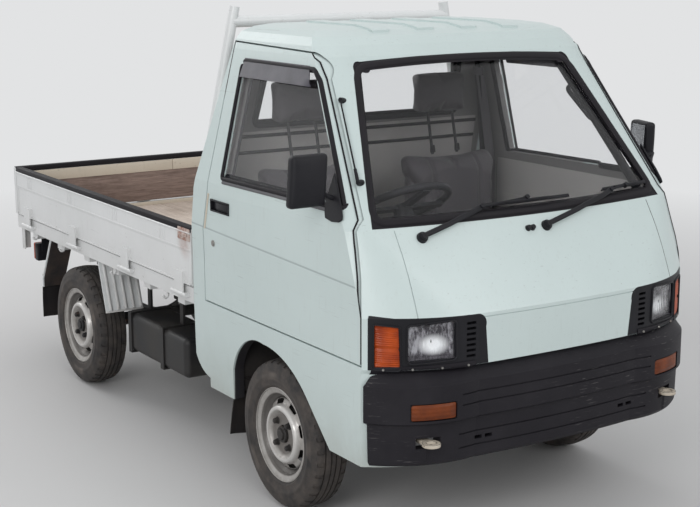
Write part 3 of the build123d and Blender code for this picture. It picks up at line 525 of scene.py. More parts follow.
# %% Vinyl and cloth
vinyl = Finish("seat_vinyl")
edges = vinyl.node("TexVoronoi", {"feature": "DISTANCE_TO_EDGE"}, {"Vector": vinyl.place, "Scale": 620})
grain = edges.rising(0.0, 0.12)
sheen = vinyl.noise(6, 3, 0.5)
vinyl.show(vinyl.surface(
    Base_Color=vinyl.blend(sheen.rising(0.3, 0.8) * 0.6, (56, 52, 57), (76, 71, 75)),
    Roughness=0.42 + sheen * 0.15,
    Sheen_Weight=0.1,
    Normal=vinyl.relief(grain, 0.0007, 0.6),
))

weave = Finish("seat_cloth")
threads = weave.wave("X", 160) * weave.wave("Z", 160)
fade = weave.noise(8, 4, 0.6)
weave.show(weave.surface(
    Base_Color=weave.blend(threads * 0.5 + fade * 0.3, (74, 72, 78), (112, 108, 112)),
    Roughness=0.9,
    Sheen_Weight=0.3,
    Normal=weave.relief(threads, 0.0006, 0.7),
))

# %% [markdown]
# ## Bright bits
#
# The reflectors behind the headlamps, the mirror glass, small screws and the door locks are bright
# metal. The mirror is smooth, and screws and locks are zinc with brown in the corners. The reflector's
# colour holds painted reflections: dark and bright streaks, painted shade along its lower part, and a
# painted glint, a white spot near the middle of each dish.

# %% Bright metal
mirror_finish = Finish("mirror_glass")
haze = mirror_finish.noise(12, 4, 0.6)
mirror_finish.show(mirror_finish.surface(
    Base_Color=(205, 208, 212), Metallic=1.0, Roughness=0.03 + haze * 0.06))

reflector = Finish("reflector")
ripples = reflector.noise(30, 2, 0.5)
flutes = reflector.noise(9, 4, 0.65, reflector.stretched((9, 9, 2.5)))
# Where the painted glint sits on each dish.
GLINT_X = 0.487
GLINT_Z = 0.728
glint_distance = ((abs(reflector.x) - GLINT_X) * 0.7).hypot(reflector.z - GLINT_Z) + (flutes - 0.5) * 0.03
# Painted reflection: dark and bright streaks, painted shade along the lower part, and a white painted glint.
chrome = reflector.blend(flutes.rising(0.44, 0.62), (62, 58, 64), (176, 174, 178))
chrome = reflector.blend(reflector.z.rising(0.71, 0.694) * 0.8, chrome, (48, 43, 50))
chrome = reflector.blend(glint_distance.rising(0.036, 0.014), chrome, (255, 255, 255))
reflector.show(reflector.surface(
    Base_Color=chrome,
    Metallic=0.8,
    Roughness=0.3,
    Normal=reflector.relief(ripples, 0.002, 0.4),
))

worn_steel("zinc", (150, 148, 144), (112, 74, 52), 0.16, 0.4, 0.85)

# %% [markdown]
# ## Fenders
#
# The mudguards round the rear wheels are white outside. What faces the wheel is black with thrown dirt,
# so a mask leaves the white only on the front guard and along the outer edge.

# %% Fenders
fender = Finish("fender_paint")
dirt = fender.noise(12, 5, 0.65)
edge_share = abs(fender.x).rising(0.669, 0.6695)
front_guard = fender.y.rising(0.7, 0.66)
fender.show(fender.surface(
    Base_Color=fender.blend(
        edge_share.at_least(front_guard),
        fender.blend(dirt.rising(0.35, 0.7), (30, 27, 28), (66, 54, 48)),
        fender.blend(dirt.rising(0.5, 0.8) * 0.3, (218, 220, 220), (150, 136, 122))),
    Roughness=0.5 + dirt * 0.2,
    Normal=fender.relief(dirt, 0.001, 0.4),
))

# %% [markdown]
# ## Which finish each CAD node wears
#
# A CAD node keeps its own mesh and only gets a new material. This table pairs the nodes with their
# finishes. A few of them are hidden later, where a finer piece stands for them.

# %% Dress the CAD nodes
WEARS = {
    "body_paint": ("cab_side_right", "cab_side_left", "nose_panel", "roof_panel", "rear_wall",
                   "door_right", "door_left"),
    "white_paint": ("bed_frame", "guard_frame", "gate_right", "gate_left", "gate_rear"),
    "fender_paint": ("rear_fenders",),
    "frame_black": ("chassis_frame", "rear_axle", "leaf_springs", "front_suspension", "knuckle_right",
                    "knuckle_left"),
    "bumper_black": ("bumper",),
    "trim_black": ("lamp_bezels", "wipers", "mirror_right", "mirror_left", "gear_lever",
                   "steering_column", "steering_wheel", "antenna"),
    "seal_rubber": ("window_seals",),
    "screen_glass": ("windshield", "rear_window", "door_glass_right", "door_glass_left"),
    "lamp_glass": ("headlamps",),
    "amber_lens": ("amber_lamps",),
    "red_lens": ("tail_lamps",),
    "dash_plastic": ("dashboard",),
    "seat_vinyl": ("seat_driver", "seat_passenger"),
    "floor_mat": ("cab_floor",),
    "engine_metal": ("engine",),
    "tank_steel": ("fuel_tank",),
    "exhaust_steel": ("exhaust",),
    "wheel_silver": tuple(name for name in nodes if name.startswith("rim_")),
    "tyre_rubber": tuple(name for name in nodes if name.startswith("tyre_")),
    "plank_wood": ("bed_planks",),
    "flap_rubber": ("mud_flaps",),
}
for finish_name, members in WEARS.items():
    for member in members:
        mesh = nodes[member].data
        mesh.materials.clear()
        mesh.materials.append(finishes[finish_name])
undressed = set(nodes) - {member for members in WEARS.values() for member in members}
print("nodes without a finish:", sorted(undressed))

# %% [markdown]
# ## From a bmesh to a finished piece
#
# Every added piece goes the same way. A bmesh is shaped with operators, its doubles are merged, and its
# faces are turned outwards. Edges sharper than a limit stay crisp while the rest shade smoothly. Then
# the piece rides on one of the truck's bodies, so that it swings, drops or spins with it.


def finer(made, kind, **settings):
    """Adds a modifier, with the same levels in the view and in the render."""
    modifier = made.modifiers.new(kind.lower(), kind)
    for name, value in settings.items():
        setattr(modifier, name, value)
    if kind == "SUBSURF":
        modifier.render_levels = modifier.levels


def piece(name, bm, finish, body="root", smooth_under=38, stands_for=(), sheet=None):
    """Makes an object that wears a finish and rides on a body. sheet is a thin one's thickness and offset."""
    bmesh.ops.remove_doubles(bm, verts=bm.verts, dist=2e-6)
    bmesh.ops.recalc_face_normals(bm, faces=bm.faces)
    limit = math.radians(smooth_under)
    for face in bm.faces:
        face.smooth = True
    for edge in bm.edges:
        edge.smooth = len(edge.link_faces) == 2 and edge.calc_face_angle(0.0) < limit
    mesh = mesh_of(name, bm)
    mesh.materials.append(finishes[finish])
    made = added(name, mesh)
    if sheet:
        finer(made, "SOLIDIFY", thickness=sheet[0], offset=sheet[1])
    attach(made, body)
    if stands_for:
        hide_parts(*stands_for)
    print(name, "has", len(mesh.polygons), "faces")
    return made


def single(name, make, finish, body="root", **rest):
    """Makes one piece with a function that fills its bmesh."""
    bm = bmesh.new()
    make(bm)
    return piece(name, bm, finish, body, **rest)


def both_sides(name, make, finish, bodies=("root", "root"), smooth_under=38, stands_for=(), sheet=None,
               far=None):
    """Makes the driver's side piece, where x is negative, and its mirror image, which far may then move."""
    made = []
    for side, flip, body in (("right", 1, bodies[0]), ("left", -1, bodies[1])):
        bm = bmesh.new()
        make(bm)
        bmesh.ops.scale(bm, vec=(flip, 1, 1), verts=bm.verts)
        if far and side == "left":
            far(bm)
        own = tuple(f"{node}_{side}" for node in stands_for)
        made.append(piece(f"{name}_{side}", bm, finish, body, smooth_under, own, sheet))
    return made


# %% [markdown]
# Two shapes come up again and again: a slab with soft edges and a round bar between two points. Each
# is one or two operators, so each gets a short helper.

# %% Slabs and bars
def edges_of(verts):
    return list({edge for vert in verts for edge in vert.link_edges})


def bevelled(bm, geom, offset, segments, affect="EDGES"):
    """Rounds edges, or the corners of a flat outline."""
    bmesh.ops.bevel(bm, geom=geom, offset=offset, offset_type="OFFSET", segments=segments, profile=0.5,
                    affect=affect, material=-1, clamp_overlap=affect == "EDGES")


def slab(bm, low, high, edge, segments=2):
    """A box between two corners, with its edges rounded."""
    low, high = Vector(low), Vector(high)
    place = Matrix.Translation((low + high) / 2) @ Matrix.Diagonal((*(high - low), 1))
    verts = bmesh.ops.create_cube(bm, size=1, matrix=place)["verts"]
    bevelled(bm, edges_of(verts), edge, segments)


def slabs(*rows):
    """The maker of a piece that is slabs alone. Each row holds one slab's corners, edge and segments."""
    def make(bm):
        for row in rows:
            slab(bm, *row)
    return make


def turned_to(start, end):
    """The matrix at start whose z axis looks at end."""
    direction = Vector(end) - Vector(start)
    return Matrix.Translation(Vector(start)) @ direction.to_track_quat("Z", "Y").to_matrix().to_4x4()


def bar(bm, start, end, radius, end_radius=None, sides=20):
    """A round bar or a taper between two points."""
    length = (Vector(end) - Vector(start)).length
    place = turned_to(start, end) @ Matrix.Translation((0, 0, length / 2))
    bmesh.ops.create_cone(bm, cap_ends=True, segments=sides, radius1=radius,
                          radius2=radius if end_radius is None else end_radius, depth=length, matrix=place)


# %% [markdown]
# Strips, rods and belts are an oval carried along a line. At each spot a matrix says how the oval lies:
# z follows the line, and x is chosen so that the strip faces the right way. A pipe is the same with a
# round section. Panes, linings and rubber flaps are a grid laid between four corners.

# %% Sweeps, pipes and grids
def swept(bm, places, width, height, closed=True, sides=10):
    """Carries an oval along a list of matrices: x is across, y stands up, z runs along."""
    size = Matrix.Diagonal((width / 2, height / 2, 1, 1))
    turn = Matrix.Rotation(math.pi / sides, 4, "Z")
    rings = []
    for place in places:
        verts = bmesh.ops.create_circle(bm, cap_ends=False, radius=1, segments=sides,
                                        matrix=place @ size @ turn)["verts"]
        rings.append(edges_of(verts))
    pairs = list(zip(rings, rings[1:]))
    if closed:
        pairs.append((rings[-1], rings[0]))
    for first, second in pairs:
        bmesh.ops.bridge_loops(bm, edges=first + second)
    if not closed:
        for ring in (rings[0], rings[-1]):
            bmesh.ops.edgeloop_fill(bm, edges=ring)


def along_line(spots, across_of, closed=False):
    """A matrix at each spot of a line, whose z runs along it. across_of(number, run) gives its x."""
    places = []
    last = len(spots) - 1
    for n, spot in enumerate(spots):
        after = spots[(n + 1) % len(spots)] if closed else spots[min(n + 1, last)]
        before = spots[n - 1] if closed else spots[max(n - 1, 0)]
        run = (after - before).normalized()
        across = across_of(n, run).normalized()
        place = Matrix((across, run.cross(across), run)).transposed().to_4x4()
        place.translation = spot
        places.append(place)
    return places


def grid_between(bm, corners, columns, rows):
    """Makes a grid and gives each vertex, its shares u and v, and its spot between four corners."""
    a, b, c, d = (Vector(corner) for corner in corners)
    for vert in bmesh.ops.create_grid(bm, x_segments=columns, y_segments=rows, size=1)["verts"]:
        u, v = (vert.co.x + 1) / 2, (vert.co.y + 1) / 2
        yield vert, u, v, a.lerp(b, u).lerp(d.lerp(c, u), v)


def pipe(bm, points, radius, sides=12, rounding=0.03):
    """A round tube along points, with its bends rounded by a Bezier at each inner corner."""
    spots = [Vector(point) for point in points]
    line = [spots[0]]
    for before, here, after in zip(spots, spots[1:], spots[2:]):
        enter = here + (before - here).normalized() * min(rounding, (before - here).length / 2)
        leave = here + (after - here).normalized() * min(rounding, (after - here).length / 2)
        for n in range(7):
            share = n / 6
            line.append(enter.lerp(here, share).lerp(here.lerp(leave, share), share))
    line.append(spots[-1])
    places = []
    for n, spot in enumerate(line):
        run = (line[min(n + 1, len(line) - 1)] - line[max(n - 1, 0)]).normalized()
        places.append(Matrix.Translation(spot) @ run.to_track_quat("Z", "Y").to_matrix().to_4x4())
    swept(bm, places, 2 * radius, 2 * radius, closed=False, sides=sides)


# %% [markdown]
# ## Finding the cab's surface
#
# Rubber strips, lamps and handles have to lie on the cab's curved skin. A tree of the skin's faces
# answers one question fast: where does a ray hit, and which way does the surface face there? From the
# side a point is named by how far along and how high it is, and from the front by across and high.

# %% The skin
SKIN_NODES = ("cab_side_right", "cab_side_left", "nose_panel", "roof_panel", "door_right", "door_left",
              "door_glass_right", "door_glass_left", "windshield", "window_seals", "rear_wall",
              "bumper", "lamp_bezels", "headlamps", "amber_lamps")
skin_bm = bmesh.new()
for skin_node in SKIN_NODES:
    skin_bm.from_mesh(nodes[skin_node].data)
skin = BVHTree.FromBMesh(skin_bm)
skin_bm.free()


def met_by(start, direction):
    """The point where a ray meets the skin, and the normal there, turned back towards the ray."""
    hit, normal, _, _ = skin.ray_cast(Vector(start), Vector(direction))
    if hit is None:
        raise ValueError(f"a ray from {start} meets nothing")
    return hit, -normal if normal.dot(Vector(direction)) > 0 else normal


def from_side(y, z):
    """A point on the driver's flank and its normal."""
    return met_by((-2.0, y, z), (1, 0, 0))


def from_front(x, z):
    """A point on the front and its normal."""
    return met_by((x, -3.0, z), (0, 1, 0))


def rounded(points, radius, steps=5):
    """An outline with each corner cut round, by a bevel of its vertices."""
    bm = bmesh.new()
    bm.faces.new([bm.verts.new((*point, 0)) for point in points])
    bevelled(bm, list(bm.verts), radius, steps, "VERTICES")
    outline = [(vert.co.x, vert.co.y) for vert in next(iter(bm.faces)).verts]
    bm.free()
    return outline


def strip_on(bm, outline, find, width, height, lift=0.0, closed=True, corner=0.0, step=0.03):
    """Sweeps an oval strip along an outline on the skin."""
    if corner:
        outline = rounded(outline, corner)
    corners = [Vector(point) for point in outline]
    spans = list(zip(corners, corners[1:]))
    if closed:
        spans.append((corners[-1], corners[0]))
    stops = []
    for first, second in spans:
        count = max(1, round((second - first).length / step))
        stops += [first.lerp(second, n / count) for n in range(count)]
    if not closed:
        stops.append(corners[-1])
    hits = [find(*stop) for stop in stops]
    spots = [point + normal * lift for point, normal in hits]
    swept(bm, along_line(spots, lambda n, run: hits[n][1].cross(run), closed), width, height, closed)


def laid_on(bm, corners, columns, rows, find, lift):
    """Lays a grid on the skin between four corners. lift is a height, or gives one from u and v."""
    for vert, u, v, spot in grid_between(bm, corners, columns, rows):
        point, normal = find(*spot)
        vert.co = point + normal * (lift(u, v) if callable(lift) else lift)


print("the flank is at", from_side(-1.0, 0.9)[0], "and the nose at", from_front(0.0, 0.9)[0])

# %% [markdown]
# ## Tyres
#
# A tyre is one outline turned about its axle: two beads, two sidewalls with moulded rings, and a tread
# with grooves. Spin turns the outline, and a full turn merges its seam. Then every third column of the
# shoulders is pushed in, which cuts the cross grooves of a plain commercial tyre.

# %% Tyres
HUB_X = 0.607
WHEELS = {
    "front_right": (-1, -0.913), "front_left": (1, -0.913),
    "rear_right": (-1, 0.926), "rear_left": (1, 0.926),
}
HALF_TYRE = [
    (0.0525, 0.1535), (0.054, 0.158), (0.0558, 0.166), (0.06, 0.1715), (0.065, 0.178), (0.067, 0.1792),
    (0.069, 0.191),
    (0.0712, 0.205), (0.0719, 0.2065), (0.0719, 0.2145), (0.071, 0.216), (0.0702, 0.228), (0.068, 0.239),
    (0.0668, 0.2405), (0.0645, 0.249), (0.0603, 0.2568), (0.0555, 0.2615), (0.046, 0.2648),
    (0.035, 0.2664), (0.0342, 0.2602), (0.0298, 0.2604), (0.029, 0.2671),
    (0.0125, 0.2688), (0.0117, 0.2624), (0.0073, 0.2626), (0.0065, 0.2692),
]
LINER = [(-0.046, 0.158), (-0.062, 0.205), (-0.052, 0.248), (0.052, 0.248), (0.062, 0.205), (0.046, 0.158)]
TYRE = HALF_TYRE + [(-across, radius) for across, radius in reversed(HALF_TYRE)] + LINER
TREAD_STEPS = 108


def turned(bm, section, steps, closed=False):
    """Turns an outline of (across, radius) points once about the x axis."""
    verts = [bm.verts.new((across, 0, radius)) for across, radius in section]
    edges = [bm.edges.new(pair) for pair in zip(verts, verts[1:])]
    if closed:
        edges.append(bm.edges.new((verts[-1], verts[0])))
    bmesh.ops.spin(bm, geom=verts + edges, cent=(0, 0, 0), axis=(1, 0, 0), angle=2 * math.pi,
                   steps=steps, use_merge=True)


def column(face, steps):
    """Which step of the turn a face belongs to."""
    centre = face.calc_center_median()
    return int((math.atan2(centre.y, centre.z) % (2 * math.pi)) / (2 * math.pi) * steps)


def radius_of(face):
    centre = face.calc_center_median()
    return math.hypot(centre.y, centre.z)


def at_hub(bm, side, y):
    """Moves a wheel shape, whose outer side faces +x, to its hub."""
    bmesh.ops.scale(bm, vec=(side, 1, 1), verts=bm.verts)
    bmesh.ops.translate(bm, vec=(side * HUB_X, y, HUB_Z), verts=bm.verts)


for corner_name, (side, axle_y) in WHEELS.items():
    tyre_bm = bmesh.new()
    turned(tyre_bm, TYRE, TREAD_STEPS, closed=True)
    shoulder = [
        face for face in tyre_bm.faces
        if 0.04 < abs(face.calc_center_median().x) < 0.061 and radius_of(face) > 0.255
        and column(face, TREAD_STEPS) % 3 == 0
    ]
    bmesh.ops.inset_region(tyre_bm, faces=shoulder, thickness=0.0008, depth=-0.004, use_even_offset=True)
    at_hub(tyre_bm, side, axle_y)
    piece("tyre_" + corner_name + "_tread", tyre_bm, "tyre_rubber", "wheel_" + corner_name,
          stands_for=("tyre_" + corner_name,))

# %% [markdown]
# ## Rims
#
# A pressed steel rim is two thin sheets: a barrel with a rolled flange at each edge, and a disc with a
# raised ring round the nuts. Turning a line and giving it thickness is how the real press sees it too.
# Eight hand holes are made by deleting faces from the disc's slope: a subdivision surface then rounds
# each square gap into an oval.

# %% Rims, hubs and nuts
BARREL = [
    (0.0615, 0.1672), (0.0604, 0.1696), (0.0578, 0.1692), (0.0556, 0.165), (0.054, 0.1548), (0.0505, 0.1497),
    (0.042, 0.1482), (0.033, 0.142), (0.027, 0.1345), (0.023, 0.132), (-0.027, 0.1305),
    (-0.035, 0.142), (-0.043, 0.1482), (-0.0505, 0.1497), (-0.054, 0.1548), (-0.0556, 0.165),
    (-0.0578, 0.1692), (-0.0615, 0.169),
]
DISC = [
    (0.018, 0.1305), (0.0245, 0.1303), (0.0295, 0.1272), (0.0322, 0.1218), (0.0348, 0.1156), (0.0385, 0.1096),
    (0.0455, 0.1052), (0.0535, 0.1022), (0.0576, 0.0975), (0.058, 0.0918), (0.0548, 0.0865), (0.0482, 0.0815),
    (0.0435, 0.0745), (0.0425, 0.0665), (0.0425, 0.045), (0.0425, 0.031),
]
HUB = [(0.025, 0.03), (0.052, 0.0296), (0.0545, 0.028), (0.0545, 0.0215), (0.0525, 0.0195),
       (0.0595, 0.0185), (0.0612, 0.0165), (0.0618, 0.0)]
DRUM = [(0.0185, 0.031), (0.0185, 0.092), (0.015, 0.095), (-0.02, 0.095)]
RIM_STEPS = 48
NUT_CIRCLE = 0.057

for corner_name, (side, axle_y) in WHEELS.items():
    wheel_body = "wheel_" + corner_name
    barrel_bm = bmesh.new()
    turned(barrel_bm, BARREL, 72)
    at_hub(barrel_bm, side, axle_y)
    piece("rim_barrel_" + corner_name, barrel_bm, "wheel_silver", wheel_body,
          stands_for=("rim_" + corner_name,), sheet=(0.0026, 0))

    disc_bm = bmesh.new()
    turned(disc_bm, DISC, RIM_STEPS)
    holes = [
        face for face in disc_bm.faces
        if 0.1096 < radius_of(face) < 0.127 and column(face, RIM_STEPS) % 6 in (1, 2, 3)
    ]
    bmesh.ops.delete(disc_bm, geom=holes, context="FACES")
    at_hub(disc_bm, side, axle_y)
    disc = piece("rim_disc_" + corner_name, disc_bm, "wheel_silver", wheel_body, 180, sheet=(0.0034, 0))
    finer(disc, "SUBSURF", levels=2)

    hub_bm = bmesh.new()
    turned(hub_bm, HUB, 40)
    turned(hub_bm, DRUM, 48)
    for quarter in range(4):
        angle = math.radians(45 + 90 * quarter)
        y, z = NUT_CIRCLE * math.sin(angle), NUT_CIRCLE * math.cos(angle)
        bar(hub_bm, (0.042, y, z), (0.047, y, z), 0.0145, 0.0125, 18)
        bar(hub_bm, (0.047, y, z), (0.059, y, z), 0.0112, 0.0108, 6)
        bar(hub_bm, (0.059, y, z), (0.0625, y, z), 0.0072, 0.0058, 12)
    at_hub(hub_bm, side, axle_y)
    piece("wheel_hub_" + corner_name, hub_bm, "frame_black", wheel_body, 30)

# %% [markdown]
# ## Finishes for trim
#
# A few trims have finishes of their own: the cream paint of the towing eyes, of the doors' guard strips
# and of the gates' bands, a grey rubber for the strip under the door window, and the light grey moulded
# trim of the cab.

# %% Trim finishes
moulded("grey_rubber", (96, 96, 99), (126, 125, 126), 0.55, 700, 0.0, 0.0003)
moulded("grey_trim", (152, 149, 147), (168, 165, 161), 0.6, 900, 0.0, 0.0004)
enamel("cream_paint", (208, 198, 182), (192, 180, 162),
       (128, 112, 96), 0.72, 0.66)

# %% [markdown]
# ## Rubber round the glass
#
# The windshield sits in a wide black rubber that follows the body's curve, with round corners. The side
# windows have a narrower one. Each is an oval carried along an outline that rays have dropped onto the
# skin, so it hugs the surface wherever that turns.

# %% Window rubbers
SCREEN_LINE = [(-0.605, 1.103), (-0.3, 1.099), (0, 1.097), (0.3, 1.099), (0.605, 1.103),
               (0.457, 1.571), (0.23, 1.586), (0, 1.589), (-0.23, 1.586), (-0.457, 1.571)]
DOOR_WINDOW_LINE = [(-1.351, 1.15), (-1.074, 1.532), (-1.04, 1.5635), (-0.556, 1.5645), (-0.5415, 1.548),
                    (-0.5455, 1.142)]
DOORS = ("door_right", "door_left")


def screen_rubber(bm):
    strip_on(bm, SCREEN_LINE, from_front, 0.027, 0.013, 0.0, corner=0.042)


def door_rubber(bm):
    strip_on(bm, DOOR_WINDOW_LINE, from_side, 0.017, 0.013, 0.001, corner=0.012)


def belt_strip(bm):
    line = [(-1.338, 1.136), (-0.9, 1.133), (-0.556, 1.13)]
    strip_on(bm, line, from_side, 0.013, 0.008, 0.001, closed=False)


single("windshield_rubber", screen_rubber, "seal_rubber", smooth_under=60)
both_sides("door_rubber", door_rubber, "seal_rubber", DOORS, 60)
both_sides("belt_strip", belt_strip, "grey_rubber", DOORS, 60)

# %% [markdown]
# A smoked plastic visor sticks out over the top of each door window, so that the glass can be open in
# the rain. It is a thin sheet on the skin whose lower edge stands further out than its upper edge.

# %% Door visors
def door_visor(bm):
    low, high = 1.508, 1.574
    corners = [(-1.045, low), (-0.56, low), (-0.56, high), (-1.005, high)]
    for vert, _, v, spot in grid_between(bm, corners, 24, 5):
        vert.co = from_side(spot.x, high)[0]
        vert.co.z = spot.y
        vert.co.x -= 0.003 + (1 - v) * 0.026


both_sides("door_visor", door_visor, "smoked_glass", DOORS, 60, sheet=(0.003, 0))

# %% [markdown]
# ## Lamps
#
# A headlamp is a chrome dish behind a fluted pane. Both are grids laid on the body's curve: the dish
# goes in behind the pane, deepest in the middle. A thin black frame covers the edge all round. The
# amber corner lamps have fine level ribs, which are every other row of the grid lifted a little.

# %% Headlamps
HEADLAMP = [(-0.573, 0.674), (-0.424, 0.681), (-0.427, 0.806), (-0.573, 0.795)]
CORNER_LAMP = [(-0.662, 0.656), (-0.595, 0.655), (-0.596, 0.791), (-0.662, 0.8005)]


def grown(outline, by):
    """The same outline with each corner moved out both ways."""
    middle = [sum(axis) / len(outline) for axis in zip(*outline)]
    return [[at + math.copysign(by, at - mid) for at, mid in zip(point, middle)] for point in outline]


def dome(u, v):
    """0 round the edge of a grid and 1 in its middle."""
    return math.sin(math.pi * u) * math.sin(math.pi * v)


def lamp_pane(bm):
    laid_on(bm, HEADLAMP, 16, 12, from_front, lambda u, v: -0.004 + 0.006 * dome(u, v))


def lamp_dish(bm):
    laid_on(bm, HEADLAMP, 24, 18, from_front, lambda u, v: -0.0045 - 0.0145 * dome(u, v) ** 0.45)


def lamp_frame(bm):
    strip_on(bm, grown(HEADLAMP, 0.003), from_front, 0.007, 0.009, 0.001, corner=0.016, step=0.02)
    strip_on(bm, grown(CORNER_LAMP, 0.0025), from_front, 0.006, 0.008, 0.001, corner=0.008, step=0.02)


def corner_lens(bm):
    rows = 41

    def ribs(u, v):
        row = round(v * rows)
        bulge = 0.005 * min(1.0, 5 * min(u, 1 - u, v, 1 - v))
        return -0.002 + bulge + (0.0008 if row % 2 else -0.0008) - (0.0025 if 19 <= row <= 21 else 0)
    laid_on(bm, CORNER_LAMP, 12, rows, from_front, ribs)


THIN_INWARD = (0.0025, -1)
panes = both_sides("headlamp_pane", lamp_pane, "lamp_glass", smooth_under=60, sheet=THIN_INWARD)
both_sides("headlamp_dish", lamp_dish, "reflector", smooth_under=60, sheet=THIN_INWARD)
both_sides("lamp_frames", lamp_frame, "trim_black", smooth_under=60)
both_sides("corner_lens", corner_lens, "amber_lens", smooth_under=30, sheet=THIN_INWARD)
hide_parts("headlamps")

# %% [markdown]
# The indicators in the bumper are flat lenses with a low dome and upright ribs. They stand for the
# CAD's plain amber blocks together with the corner lenses.

# %% Bumper indicators
def indicator_lens(bm):
    corners = [(-0.579, 0.4935), (-0.434, 0.4935), (-0.434, 0.5445), (-0.579, 0.5445)]

    def ribs(u, v):
        edge = min(1.0, 6 * min(u, 1 - u, v * 0.6, (1 - v) * 0.6))
        return -0.002 + 0.005 * edge + (0.0006 if round(u * 40) % 2 else 0)
    laid_on(bm, corners, 40, 8, from_front, ribs)


def indicator_frame(bm):
    outline = [(-0.581, 0.4915), (-0.432, 0.4915), (-0.432, 0.5465), (-0.581, 0.5465)]
    strip_on(bm, outline, from_front, 0.006, 0.005, 0.001, corner=0.006, step=0.02)


indicators = both_sides("indicator_lens", indicator_lens, "dull_amber", smooth_under=30, sheet=THIN_INWARD)
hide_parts("amber_lamps")
both_sides("indicator_frame", indicator_frame, "trim_black", smooth_under=60)

# %% [markdown]
# A black apron closes the gap between the lamp surround and the bumper. Small screws hold it.

# %% Lamp aprons
def lamp_apron(bm):
    corners = [(-0.67, 0.64), (-0.352, 0.646), (-0.352, 0.668), (-0.67, 0.664)]
    laid_on(bm, corners, 30, 3, from_front, 0.0035)


def apron_screws(bm):
    for x in (-0.64, -0.56, -0.47, -0.38):
        spot, normal = from_front(x, 0.656)
        bar(bm, spot + normal * 0.003, spot + normal * 0.0065, 0.0045, 0.0035, 12)


both_sides("lamp_apron", lamp_apron, "bumper_black", smooth_under=60, sheet=THIN_INWARD)
both_sides("apron_screws", apron_screws, "zinc", smooth_under=40)

# %% [markdown]
# ## Mirrors
#
# Each mirror has three parts: a plate on the door's corner, a bent arm, and a head whose back is domed.
# The head starts as a cube that is subdivided and pushed, and bevels turn its edges. The glass is a
# slightly crowned sheet in the head's rear face.

# %% Mirror heads, arms and plates
HEAD = Vector((-0.778, -1.297, 1.24))
HEAD_HALF = Vector((0.066, 0.02, 0.084))


def mirror_head(bm):
    slab(bm, HEAD - HEAD_HALF, HEAD + HEAD_HALF, 0.013, 4)
    long_edges = [edge for edge in bm.edges if edge.calc_length() > 0.05]
    bmesh.ops.subdivide_edges(bm, edges=long_edges, cuts=7, use_grid_fill=True)
    for vert in bm.verts:
        u = (vert.co.x - HEAD.x) / HEAD_HALF.x
        v = (vert.co.z - HEAD.z) / HEAD_HALF.z
        if vert.co.y < -1.3:
            vert.co.y -= 0.01 * max(0, 1 - u * u) * max(0, 1 - v * v)
        vert.co.x += 0.006 * v


def mirror_pane(bm):
    face_y = -1.2762
    place = Matrix.Translation((HEAD.x, face_y, HEAD.z)) @ Matrix.Rotation(math.pi / 2, 4, "X")
    for vert in bmesh.ops.create_grid(bm, x_segments=10, y_segments=12, size=1, matrix=place)["verts"]:
        u, v = vert.co.x - HEAD.x, vert.co.z - HEAD.z
        vert.co = (HEAD.x + u * 0.055 + 0.0054 * v, face_y + 0.0012 * (1 - 0.5 * u * u - 0.5 * v * v),
                   HEAD.z + v * 0.073)


def mirror_arm(bm, joint=(-0.745, -1.297, 1.215), bend=(-0.722, -1.297, 1.196), base=0.019):
    pipe(bm, [(-0.652, -1.306, 1.172), (-0.69, -1.3, 1.178), bend, joint], 0.0085, rounding=0.02)
    bar(bm, (-0.664, -1.304, 1.172), (-0.682, -1.301, 1.177), base, 0.7 * base)
    knuckle = Vector(joint)
    bar(bm, knuckle + Vector((0.029, 0, -0.01)), knuckle + Vector((0.01, 0, -0.005)), 0.015)


def folded(bm):
    """Folds the passenger's mirror back along the door, as the photograph has it."""
    edge, hinge = Vector((0.712, -1.297, 0)), Vector((0.735, -1.262, 0))
    bmesh.ops.rotate(bm, cent=edge, matrix=Matrix.Rotation(math.radians(74), 3, "Z"), verts=bm.verts)
    bmesh.ops.translate(bm, vec=hinge - edge, verts=bm.verts)


def folded_arm(bm):
    mirror_arm(bm, (-0.747, -1.262, 1.21), (-0.722, -1.28, 1.194), 0.012)
    bmesh.ops.scale(bm, vec=(-1, 1, 1), verts=bm.verts)


def corner_plate(bm):
    outline = [(-1.265, 1.132), (-1.276, 1.11), (-1.315, 1.104), (-1.356, 1.108), (-1.374, 1.118),
               (-1.371, 1.131), (-1.349, 1.168), (-1.323, 1.203), (-1.284, 1.255), (-1.262, 1.168)]
    verts = []
    for y, z in outline:
        skin_x = from_side(max(y, -1.372), 1.102)[0].x
        verts.append(bm.verts.new((skin_x + 0.218 * max(0.0, z - 1.1) - 0.0065, y, z)))
    bm.faces.new(verts)


both_sides("mirror_head", mirror_head, "trim_black", DOORS, 50, ("mirror",), far=folded)
both_sides("mirror_pane", mirror_pane, "mirror_glass", DOORS, 60, far=folded)
single("mirror_arm_right", mirror_arm, "trim_black", "door_right", smooth_under=50)
single("mirror_arm_left", folded_arm, "trim_black", "door_left", smooth_under=50)
for plate in both_sides("corner_plate", corner_plate, "trim_black", DOORS, 60, sheet=(0.006, 0)):
    finer(plate, "BEVEL", width=0.002, segments=2)

# %% [markdown]
# ## Wipers and washer
#
# A wiper is a pivot cap, a flat tapered arm, a yoke and a thin blade on the glass. The rays find the
# glass under each of them. Two nozzles stand between the wipers.

# %% Wipers
def stud(bm, spot, start, end, radius, end_radius, sides):
    """A round bar that stands on the front, from one height over it to another."""
    point, normal = from_front(*spot)
    bar(bm, point + normal * start, point + normal * end, radius, end_radius, sides)


